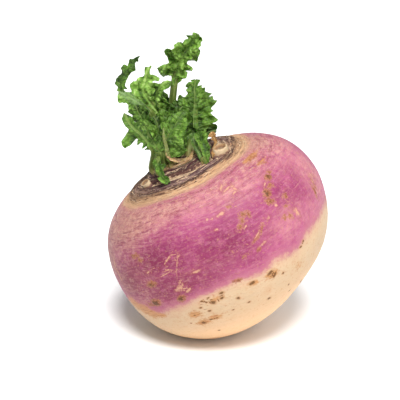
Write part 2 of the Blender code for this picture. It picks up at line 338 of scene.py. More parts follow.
# Marks on the skin: (angle, distance down, half length round, half length down, turn in degrees). A program
# turned places on the seen side into the first two numbers. scattered() makes up the far side's.
SCABS = [
    (-43.5, 44.2, 1.5, 1.2, 20), (-40.5, 43, 0.9, 0.7, 0), (-46.5, 47.2, 1.2, 0.8, 10),
    (-51, 48.6, 1.7, 1.5, 30), (-52.5, 51.4, 1.7, 0.9, -20), (-67, 50, 1.4, 0.9, -15),
    (-69, 51.6, 0.9, 0.7, 20), (-65, 50.8, 0.7, 0.9, 0), (-71.5, 53.2, 1.3, 0.7, 35),
    (-66.5, 59.4, 2.4, 0.6, 25), (-63, 57.6, 1.4, 0.6, 35), (-71.5, 44.9, 0.7, 0.6, 0),
    (-50, 59, 0.9, 0.7, 0), (-46, 56.4, 0.8, 0.5, 0), (-43.5, 53.3, 0.9, 0.8, 0), (-46.5, 60.4, 0.7, 1, 30),
    (-130, 69.6, 2.6, 1.6, 10), (-134, 70.6, 1.8, 0.8, 0), (-126, 61.6, 2.3, 1.1, 5),
    (-113.5, 69.8, 2.1, 1.4, 20), (-131, 49.6, 1.8, 0.8, 0), (-128, 51.4, 1.1, 0.6, 0),
    (-84, 70.9, 1.1, 0.5, 0), (-22.5, 60.4, 0.7, 2.4, 0), (-19.5, 58, 0.6, 1.8, 0),
    (-37, 33.8, 2.4, 0.5, 20), (-33, 34.4, 1.2, 0.7, 0), (-36.5, 38.4, 1.3, 0.4, -30),
    (-68, 64, 0.7, 0.4, 0), (-76, 63.5, 1, 0.3, 10),
]
PALE_MARKS = [
    (-68, 36.6, 1.3, 0.45, 50), (-65.5, 38.4, 1.6, 0.5, 15), (-62.5, 40.2, 0.8, 0.4, -70),
    (-64.5, 41.6, 0.8, 0.4, 20), (-48.5, 45.6, 1.4, 0.35, 35), (-76.5, 45.9, 1.6, 0.6, 10),
    (-82, 50.3, 0.7, 0.4, 0), (-84, 45.5, 0.6, 0.4, 0), (-42.5, 60.9, 0.9, 2.2, 15),
    (-57.5, 55.5, 0.9, 0.8, 0), (-50.5, 53.6, 0.7, 0.6, 0), (-111, 65.2, 2.2, 0.9, 30),
    (-107.5, 67.4, 1.5, 0.6, 30), (-110.5, 53.4, 2.6, 0.3, 35), (-107, 56.6, 2.8, 0.3, 62),
    (-112, 57.4, 2.6, 0.22, -20), (-115.5, 58.8, 3, 0.22, 12), (-109, 59.6, 2, 0.25, 70),
    (-99.5, 61.3, 1.8, 0.45, 0), (-105, 53.6, 1.4, 0.5, 0), (-66, 62.9, 1.8, 0.5, 10),
    (-124, 56.4, 1.4, 0.3, 15), (-172, 60.4, 2.4, 0.4, 20), (-165, 64, 2, 0.4, 15),
    (-17, 55.6, 0.4, 1.5, 20), (-20, 56.6, 0.4, 1.4, 20), (-14, 57, 0.4, 1.4, 20),
    (-69.5, 54.4, 1, 0.35, 30), (-66, 58.8, 2, 0.3, 28), (-155.5, 52.5, 0.6, 2.8, 10),
    (-152.5, 58.2, 0.6, 2.4, 10), (-157.5, 56, 0.5, 2, 10),
]
SPOTS = [
    (-99.5, 75.7, 1, 0.8, 0), (-94.5, 75.2, 0.8, 0.5, 20), (-93.5, 73, 0.9, 0.5, 0),
    (-104.5, 73.5, 0.6, 0.4, 0), (-102.5, 74.6, 0.5, 0.35, 0), (-107, 76.3, 0.6, 0.4, 0),
    (-104, 79.1, 0.7, 0.45, 0), (-87.5, 78.2, 0.6, 0.6, 0), (-83.5, 82.6, 0.6, 0.4, 0),
    (-93, 83, 0.5, 0.3, 0), (-112, 84.5, 1, 0.8, 0), (-103.5, 84.1, 0.5, 0.4, 0), (-107, 83.9, 0.8, 0.4, 0),
    (-110.5, 93.8, 0.5, 0.4, 0), (-72.5, 86.5, 0.7, 0.5, 0), (-68, 74.6, 1.3, 0.7, 20),
    (-66, 76.6, 1.3, 0.5, 45), (-78, 74.6, 1.2, 0.7, 0), (-61, 78.3, 0.5, 0.5, 0), (-47, 73.1, 0.7, 0.4, 0),
    (-44.5, 71.8, 0.5, 0.5, 0), (-42, 94, 0.5, 1.1, 20), (-58, 86.5, 0.4, 0.4, 0),
    (-100.5, 73, 0.5, 0.3, 0), (-113, 79.2, 0.5, 0.3, 0), (-56, 92, 0.5, 0.4, 0), (-119, 83, 0.4, 0.3, 0),
]


def scattered(count, angles, downs, sizes, seed):
    """Marks strewn over the part of the skin that has none of its own in the lists."""
    rng = np.random.default_rng(seed)
    made = []
    for _ in range(count):
        angle, down, size = rng.uniform(*angles), rng.uniform(*downs), rng.uniform(*sizes)
        long, tall = size * rng.uniform(0.8, 2.0), size * rng.uniform(0.5, 0.9)
        made.append((angle, down, long, tall, rng.normal(0, 25)))
    return made


FAR_SIDE = (-12, 172)
SCABS += scattered(26, FAR_SIDE, (34, 70), (0.5, 1.5), 5)
PALE_MARKS += scattered(34, FAR_SIDE, (33, 70), (0.3, 0.9), 6)
SPOTS += scattered(34, FAR_SIDE, (74, 104), (0.3, 0.8), 7)


def round_from(angle, degrees, radius):
    """How far round the root each point is from an angle, in millimetres."""
    return np.radians((degrees - angle + 180) % 360 - 180) * radius


def nearest_mark(marks, degrees, down, radius):
    """How deep inside the nearest mark each point is, negative outside, and its place in the mark."""
    inside = np.full(degrees.shape, -3.0)
    place = np.full((*degrees.shape, 3), 3.0)
    for angle, where, long, tall, turn in marks:
        u, v = round_from(angle, degrees, radius), down - where
        c, s = math.cos(math.radians(turn)), math.sin(math.radians(turn))
        u, v = (u * c - v * s) / long, (u * s + v * c) / tall
        depth = (1 - np.hypot(u, v)) * min(long, tall)
        nearer = depth > inside
        inside = np.where(nearer, depth, inside)
        place = np.where(nearer[..., None], np.stack([u, v, 0 * u], -1), place)
    return inside, place


def make_root():
    """The root as one fine grid, ringed on the crown, marked on the flank and level where it rests."""
    flank_downs = np.arange(CROWN_EDGE, section_length - 0.4, FLANK_STEP)
    downs = np.r_[np.arange(CROWN_STEP, CROWN_EDGE, CROWN_STEP), flank_downs]
    degrees = np.arange(ROUND) * 360 / ROUND - 180
    down, turn = np.meshgrid(downs, degrees, indexing="ij")
    smooth = root_point(down, turn)
    normals = -grid_normals(smooth, True)
    radius = np.interp(down, section_down, section_line[:, 0])
    wander = layered_noise(smooth, 9, 3) * 0.9
    ring = down - around(RING_WARP, turn) + wander * np.clip(down / 8, 0, 1)
    streak = np.concatenate([smooth[..., :2] / 9, ring[..., None] * 0.9], -1)
    relief = np.interp(ring, *zip(*RING_RELIEF))
    relief = relief * (0.75 + 0.5 * smooth_noise(smooth, 8, 11))
    crown = np.clip((33 - ring) / 4, 0, 1)
    relief += crown * 0.22 * layered_noise(streak, 1.0, 21)
    relief += 0.35 * layered_noise(smooth, 22, 4, 2) * np.clip(down / 30, 0, 1)
    relief += 0.05 * layered_noise(streak, 1.6, 25)
    ragged = layered_noise(smooth, 2.2, 8)
    scab = nearest_mark(SCABS, turn, down, radius)[0] + 0.4 * ragged
    pale, pale_place = nearest_mark(PALE_MARKS, turn, down, radius)
    spot, spot_place = nearest_mark(SPOTS, turn, down, radius)
    relief -= 0.35 * np.clip(scab / 0.8, 0, 1) - 0.12 * np.clip(1 - abs(scab + 0.35) / 0.4, 0, 1)
    relief -= 0.1 * np.clip(pale / 0.4, 0, 1) + 0.25 * np.clip(spot / 0.5, 0, 1)
    points = smooth + normals * relief[..., None]
    world = to_world(points)
    world[..., 2] = np.where(world[..., 2] < 0.6, np.maximum(world[..., 2], 0) * 0.8, world[..., 2])
    purple = around(PURPLE_END, turn) - down + 1.2 * layered_noise(smooth * (1, 1, 1.6), 9, 14)
    flat = world.reshape(-1, 3)
    top = to_world(np.array([[0, 0, CROWN_TIP]]))
    tail = to_world(np.array([[0, 0, SECTION[-1][1]]]))
    faces = grid_faces(len(downs), ROUND, True).tolist()
    count = len(flat)
    faces += fan(0, ROUND, count) + fan(count - ROUND, ROUND, count + 1, flip=True)

    def at_points(value, at_top, at_tail):
        return np.r_[value.ravel(), at_top, at_tail]

    place = np.vstack([smooth.reshape(-1, 3), (0, 0, CROWN_TIP), (0, 0, -37)])
    streaks = np.vstack([streak.reshape(-1, 3), (0, 0, 0), (0, 0, section_length)])
    values = {
        "place": place,
        "streaks": streaks,
        "ring": at_points(ring, 0, section_length),
        "down": at_points(down, 0, section_length),
        "purple": at_points(purple, 70, -60),
        "scab": at_points(scab, -3, -3),
        "pale": at_points(pale, -3, -3),
        "spot": at_points(spot, -3, -3),
        "pale_place": np.vstack([pale_place.reshape(-1, 3), (3, 3, 0), (3, 3, 0)]),
        "spot_place": np.vstack([spot_place.reshape(-1, 3), (3, 3, 0), (3, 3, 0)]),
        "height": at_points(relief, 0, 0),
        **{name: at_points(zone(spots, turn, down, radius), 0, 0) for name, spots in ZONES.items()},
    }
    root = add_mesh("turnip_root", np.vstack([flat, top, tail]), faces, values, skin_material())
    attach(root, "root")
    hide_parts("root")


# Soft-edged zones of the skin: (angle, distance down, half width round, half width down, strength)
ZONES = {
    "tan_zone": [
        (-150, 38, 26, 12, 1), (-170, 50, 20, 14, 0.8), (-125, 36, 16, 6, 0.6), (-140, 46, 10, 5, 0.5),
        (-145, 72, 10, 6, 0.5), (-38, 34, 8, 4, 0.7), (120, 36, 40, 9, 0.5), (-20, 60, 4, 8, 0.4),
        (-108, 35, 16, 5, 0.6), (-12, 30, 16, 6, 1), (-150, 62, 14, 9, 0.55), (-134, 67, 14, 6, 0.45),
    ],
    "deep_zone": [
        (-118, 53, 22, 9, 1), (-114, 65, 26, 8, 0.9), (-140, 62, 16, 9, 0.8), (-80, 56, 18, 10, 1),
        (-62, 45, 12, 10, 0.7), (-45, 50, 10, 14, 0.8), (-100, 60, 20, 9, 0.6), (-30, 50, 8, 10, 0.7),
        (30, 52, 30, 12, 0.7), (110, 56, 40, 10, 0.8),
    ],
    # Rosy skin; the two strong patches at angle -14 on the far right are also painted light, lighter where
    # the lamps fall on that side
    "rosy_and_lit_zone": [
        (-95, 36, 30, 5, 1), (-110, 37, 12, 4, 1), (-92, 38, 9, 3, 1), (-60, 40, 18, 6, 0.8),
        (-20, 40, 16, 10, 0.6), (-48, 62, 10, 7, 0.7), (-30, 66, 12, 8, 0.5), (60, 38, 40, 8, 0.7),
        (-70, 38, 12, 6, 0.5), (-14, 54, 9, 14, 1), (-14, 40, 16, 8, 1),
    ],
    "worn_zone": [
        (-12, 23, 8, 6, 0.95), (-34, 26, 6, 4, 0.6), (-152, 25, 8, 4, 0.8), (-133, 27, 8, 3, 0.6),
        (-60, 27, 6, 2, 0.4), (60, 24, 16, 4, 0.6), (150, 24, 12, 4, 0.6),
    ],
    # Duller, browner skin low on the left: partly its own colour, partly painted shade on the side turned
    # from the lamps
    "dull_and_shaded_zone": [
        (-140, 58, 22, 11, 1), (-126, 68, 16, 5, 0.7), (-165, 50, 20, 14, 0.8), (-100, 62, 24, 8, 0.6),
    ],
    "stain_zone": [
        (-144, 73.2, 4.2, 2.6, 1), (-139.5, 75.4, 3.8, 2, 1), (-133, 76.2, 3, 1.2, 0.7),
        (-152, 71, 4, 3, 0.8), (-112, 84.3, 2.6, 1.4, 0.9), (-112.5, 78.8, 2.4, 1.5, 0.8),
        (-104, 83.4, 2.6, 1.4, 0.8), (-67, 75.7, 2.2, 1.4, 1), (-77, 75.2, 1.6, 1, 0.8),
        (-111, 84, 3.2, 2.4, 0.4), (-98, 74.6, 2.4, 1.2, 0.5), (-50, 80, 3, 2, 0.3), (60, 84, 9, 5, 0.6),
        (130, 80, 7, 5, 0.7), (-35, 33.2, 4, 1, 1), (-36, 37.9, 3, 0.6, 0.7),
    ],
}


def zone(spots, degrees, down, radius):
    """How strongly each point belongs to some soft-edged zones."""
    total = np.zeros(degrees.shape)
    for angle, where, long, tall, strength in spots:
        u, v = round_from(angle, degrees, radius), down - where
        total = np.maximum(total, strength * np.exp(-((u / long) ** 2) - (v / tall) ** 2))
    return total


# Colours down the crown, from the tuft's foot out to the tan band: (distance down, colour)
CROWN_COLOURS = [
    (0, (74, 72, 34)), (9, (104, 92, 50)), (10, (230, 186, 140)), (10.8, (176, 134, 88)),
    (11.5, (88, 78, 52)), (12.3, (142, 132, 100)), (12.9, (84, 46, 52)), (14.4, (80, 40, 48)),
    (15.1, (150, 136, 108)), (15.9, (90, 56, 52)), (17, (118, 80, 68)), (17.7, (236, 198, 156)),
    (19, (255, 228, 190)), (19.5, (196, 150, 122)), (20, (78, 42, 52)), (22.2, (170, 138, 130)),
    (22.9, (96, 60, 62)), (24.2, (78, 48, 46)), (25, (206, 160, 120)), (27.4, (246, 196, 150)),
    (29.4, (242, 186, 154)), (30.6, (238, 172, 156)),
]
CROWN_SPAN = 34.0


class Skin(Paint):
    """The root's skin, in layers. Each has its colour, then the shares whose product is its strength."""

    def __init__(self):
        super().__init__("turnip_skin")
        self.at, self.streaked, self.down = self.place("place"), self.place("streaks"), self.value("down")
        self.broad = self.noise(self.at, 0.09, 3, 0.55)
        self.cloud = self.noise(self.at, 0.35, 4, 0.6)
        self.fine = self.noise(self.at, 1.1, 3, 0.6)
        self.grain = self.noise(self.at, 2.4, 2, 0.6)
        self.strokes = self.noise(self.streaked, 1.1, 4, 0.62, 0.3)
        self.thin_strokes = self.noise(self.streaked, 2.4, 3, 0.6, 0.4)

    def purple(self):
        """Purple and pink, tanned and streaked near the crown, mottled all over."""
        near_crown = self.step(self.down, 48, 30)
        banded = self.sum(near_crown, self.value("tan_zone"), limit=True)
        streaky = self.sum(0.3, self.times(banded, 0.7))
        tanned = self.sum(self.value("tan_zone"), self.swing(self.strokes, 0.9))
        flecks = self.noise(self.streaked, 1.7, 4, 0.7, 0.6)
        curls = self.creases(self.noise(self.at, 0.8, 3, 0.6, 1.6))
        dents = self.creases(self.noise(self.at, 1.1, 3, 0.6, 2.0))
        patchy = self.step(self.noise(self.at, 0.5, 2, 0.6), 0.5, 0.62)
        mottle = self.noise(self.at, 0.5, 4, 0.68, 0.5)
        mottled = self.sum(0.08, self.times(banded, 0.4))
        soft = self.noise(self.at, 0.6, 4, 0.65)
        base = self.ramp(self.broad, [(0.3, (186, 76, 130)), (0.5, (208, 96, 152)), (0.7, (224, 120, 166))])
        return self.layered(base, [
            ((150, 36, 96), self.value("deep_zone"), self.step(self.cloud, 0.15, 0.5)),
            # rosy skin, with painted light on the far right
            ((240, 164, 168), self.value("rosy_and_lit_zone"), self.step(self.cloud, 0.2, 0.6)),
            ((234, 178, 156), self.step(tanned, 0.2, 0.95), 0.85),
            # duller brown low on the left, partly painted shade
            ((148, 68, 72), self.value("dull_and_shaded_zone"), 0.6),
            ((230, 152, 154), self.step(self.strokes, 0.5, 0.68), 0.5, streaky),
            ((140, 54, 82), self.step(self.strokes, 0.5, 0.36), 0.6, streaky),
            ((240, 184, 156), self.step(self.thin_strokes, 0.55, 0.68), 0.6, streaky),
            ((142, 62, 84), self.step(self.thin_strokes, 0.44, 0.34), 0.4, streaky),
            ((255, 208, 186), self.step(flecks, 0.57, 0.64), streaky, 0.55),
            ((255, 210, 190), self.step(curls, 0.03, 0.012), patchy, self.sum(0.1, self.times(banded, 0.5))),
            ((150, 74, 84), self.step(dents, 0.03, 0.01), banded, 0.5),
            ((250, 194, 176), self.step(mottle, 0.52, 0.64), mottled),
            ((178, 92, 108), self.step(mottle, 0.47, 0.36), mottled),
            ((234, 146, 176), self.step(soft, 0.5, 0.72), 0.35),
            ((164, 50, 104), self.step(soft, 0.48, 0.28), 0.35),
            ((234, 166, 150), self.step(self.fine, 0.58, 0.74), 0.4),
            ((156, 60, 94), self.step(self.grain, 0.4, 0.28), 0.3),
            ((238, 178, 146), self.step(self.grain, 0.56, 0.66), near_crown, 0.6),
            ((160, 80, 88), self.step(self.grain, 0.42, 0.34), near_crown, 0.5),
        ])

    def cream(self):
        """Cream with tan clouds, and painted light low down: brighter towards the bottom, where light bounces
        up from the floor.
        """
        base = self.ramp(self.broad, [(0.3, (244, 208, 166)), (0.6, (246, 213, 174)), (0.8, (242, 198, 154))])
        return self.layered(base, [
            ((236, 188, 146), self.step(self.cloud, 0.52, 0.72), 0.5),
            ((222, 168, 120), self.step(self.fine, 0.58, 0.72), 0.4),
            # painted light: the bottom made brighter in place of light bounced up from the floor
            ((290, 238, 184), self.step(self.down, 78, 101), 0.85),
        ])

    def both(self):
        """Purple above and cream below, with a ragged, blushing border and tan stains about it."""
        rim = self.value("purple")
        for noise, amount in ((self.fine, 3.2), (self.cloud, 3.4), (self.strokes, 2.0)):
            rim = self.sum(rim, self.swing(noise, amount))
        faded = self.mix(self.step(rim, 5.0, 0.5), self.purple(), (214, 130, 150))
        stained = self.sum(self.value("stain_zone"), self.swing(self.fine, 1.1))
        blotch = self.step(stained, 0.05, 0.5)
        return self.layered(self.mix(self.step(rim, -2.0, 1.8), self.cream(), faded), [
            ((232, 172, 150), self.step(rim, -5.0, 0.0), self.step(rim, 1.5, 0.0), 0.3),
            ((232, 166, 100), blotch, 0.8),
            ((182, 112, 66), blotch, self.step(self.thin_strokes, 0.5, 0.62), 0.6),
        ])

    def inside(self, name, uneven):
        """How far inside a mark of one kind a point is, as a share of the mark, and whether one is near."""
        place = self.place(name + "_place")
        reach = self.add("ShaderNodeVectorMath", {0: place}, operation="LENGTH").outputs["Value"]
        depth = self.sum(self.sum(1.0, reach, "SUBTRACT"), self.swing(self.fine, uneven))
        return depth, self.step(self.value(name), -1.1, -0.7)

    def marked(self, skin):
        """Scabs, pale scratches with painted shade round them, and brown spots."""
        ragged = self.sum(self.swing(self.fine, 3.0), self.swing(self.grain, 2.0))
        scab = self.sum(self.value("scab"), self.times(ragged, 0.8))
        sore = self.step(scab, -0.7, 0.2)
        squiggles = self.noise(self.at, 0.75, 3, 0.6, 2.2)
        pale, near_pale = self.inside("pale", 3.0)
        near_pale = self.times(near_pale, self.step(self.cloud, 0.3, 0.55))
        spot, near_spot = self.inside("spot", 1.2)
        return self.layered(skin, [
            ((204, 128, 106), sore, 0.55),
            ((240, 186, 140), sore, self.step(squiggles, 0.45, 0.49), self.step(squiggles, 0.56, 0.52), 0.6),
            ((152, 92, 58), sore, self.step(squiggles, 0.48, 0.6), 0.75),
            ((176, 108, 62), self.step(scab, -0.3, 0.5), 0.65),
            ((98, 62, 36), self.step(scab, 0.3, 1.0), 0.8),
            # painted shade: a darker ring round each pale scratch
            ((176, 86, 92), self.step(pale, -1.4, -0.2), near_pale, 0.4),
            ((246, 190, 152), self.step(pale, -0.3, 0.6), near_pale, 0.8),
            ((212, 150, 92), self.step(spot, -1.2, 0.2), near_spot, 0.6),
            ((118, 78, 40), self.step(spot, -0.15, 0.35), near_spot, 0.85),
        ])

    def crown(self):
        """The crown's rings, with worn patches, cracks, dark inner patches and painted shade where its relief
        sinks.
        """
        ring = self.value("ring")
        lines = self.noise(self.streaked, 1.2, 3, 0.6, 0.3)
        patches = self.noise(self.at, 0.45, 3, 0.6)
        worn = self.noise(self.streaked, 1.3, 3, 0.6, 1.0)
        cracks = self.creases(self.noise(self.streaked, 0.85, 4, 0.62, 0.8))
        cracked = self.times(self.step(cracks, 0.03, 0.014), self.step(worn, 0.42, 0.52))
        inner = self.step(ring, 27.5, 25.5)
        shift = self.sum(self.swing(lines, 3.0), self.swing(self.fine, 2.4))
        where = self.sum(self.sum(ring, shift), CROWN_SPAN, "DIVIDE")
        return self.layered(self.ramp(where, [(down / CROWN_SPAN, shade) for down, shade in CROWN_COLOURS]), [
            ((214, 176, 146), self.step(self.thin_strokes, 0.55, 0.62), 0.35),
            ((66, 38, 40), self.step(self.thin_strokes, 0.44, 0.38), 0.6),
            ((190, 148, 128), self.step(patches, 0.56, 0.7), 0.3),
            ((212, 168, 128), self.value("worn_zone"), self.step(worn, 0.4, 0.5)),
            ((78, 42, 46), self.step(worn, 0.57, 0.61), 0.7, inner),
            ((64, 36, 38), cracked, self.sum(0.15, self.times(inner, 0.8))),
            ((244, 208, 170), self.step(cracks, 0.05, 0.03), self.step(worn, 0.46, 0.4)),
            # painted shade: darker where the crown's relief sinks into grooves and hollows
            ((62, 38, 40), self.step(self.value("height"), 0.0, -0.8), 0.5),
        ])


def skin_material():
    """The whole skin, rough and matt on the crown, with fine streaks and grain that catch the light."""
    p = Skin()
    on_crown = p.step(p.sum(p.value("ring"), p.swing(p.strokes, 5.0)), 31.5, 28.8)
    shade = p.mix(on_crown, p.marked(p.both()), p.crown())
    bumps = p.bump(p.sum(p.strokes, p.times(p.thin_strokes, 0.6)), 0.5, 0.5)
    bumps = p.bump(p.fine, 0.12, 0.5, bumps)
    bumps = p.bump(p.grain, 0.05, 0.5, bumps)
    rough = p.sum(p.sum(0.42, p.times(p.fine, 0.2)), p.times(on_crown, 0.25))
    return p.grown(shade, rough, bumps, 0.15, (1.0, 0.45, 0.3), 2.5)
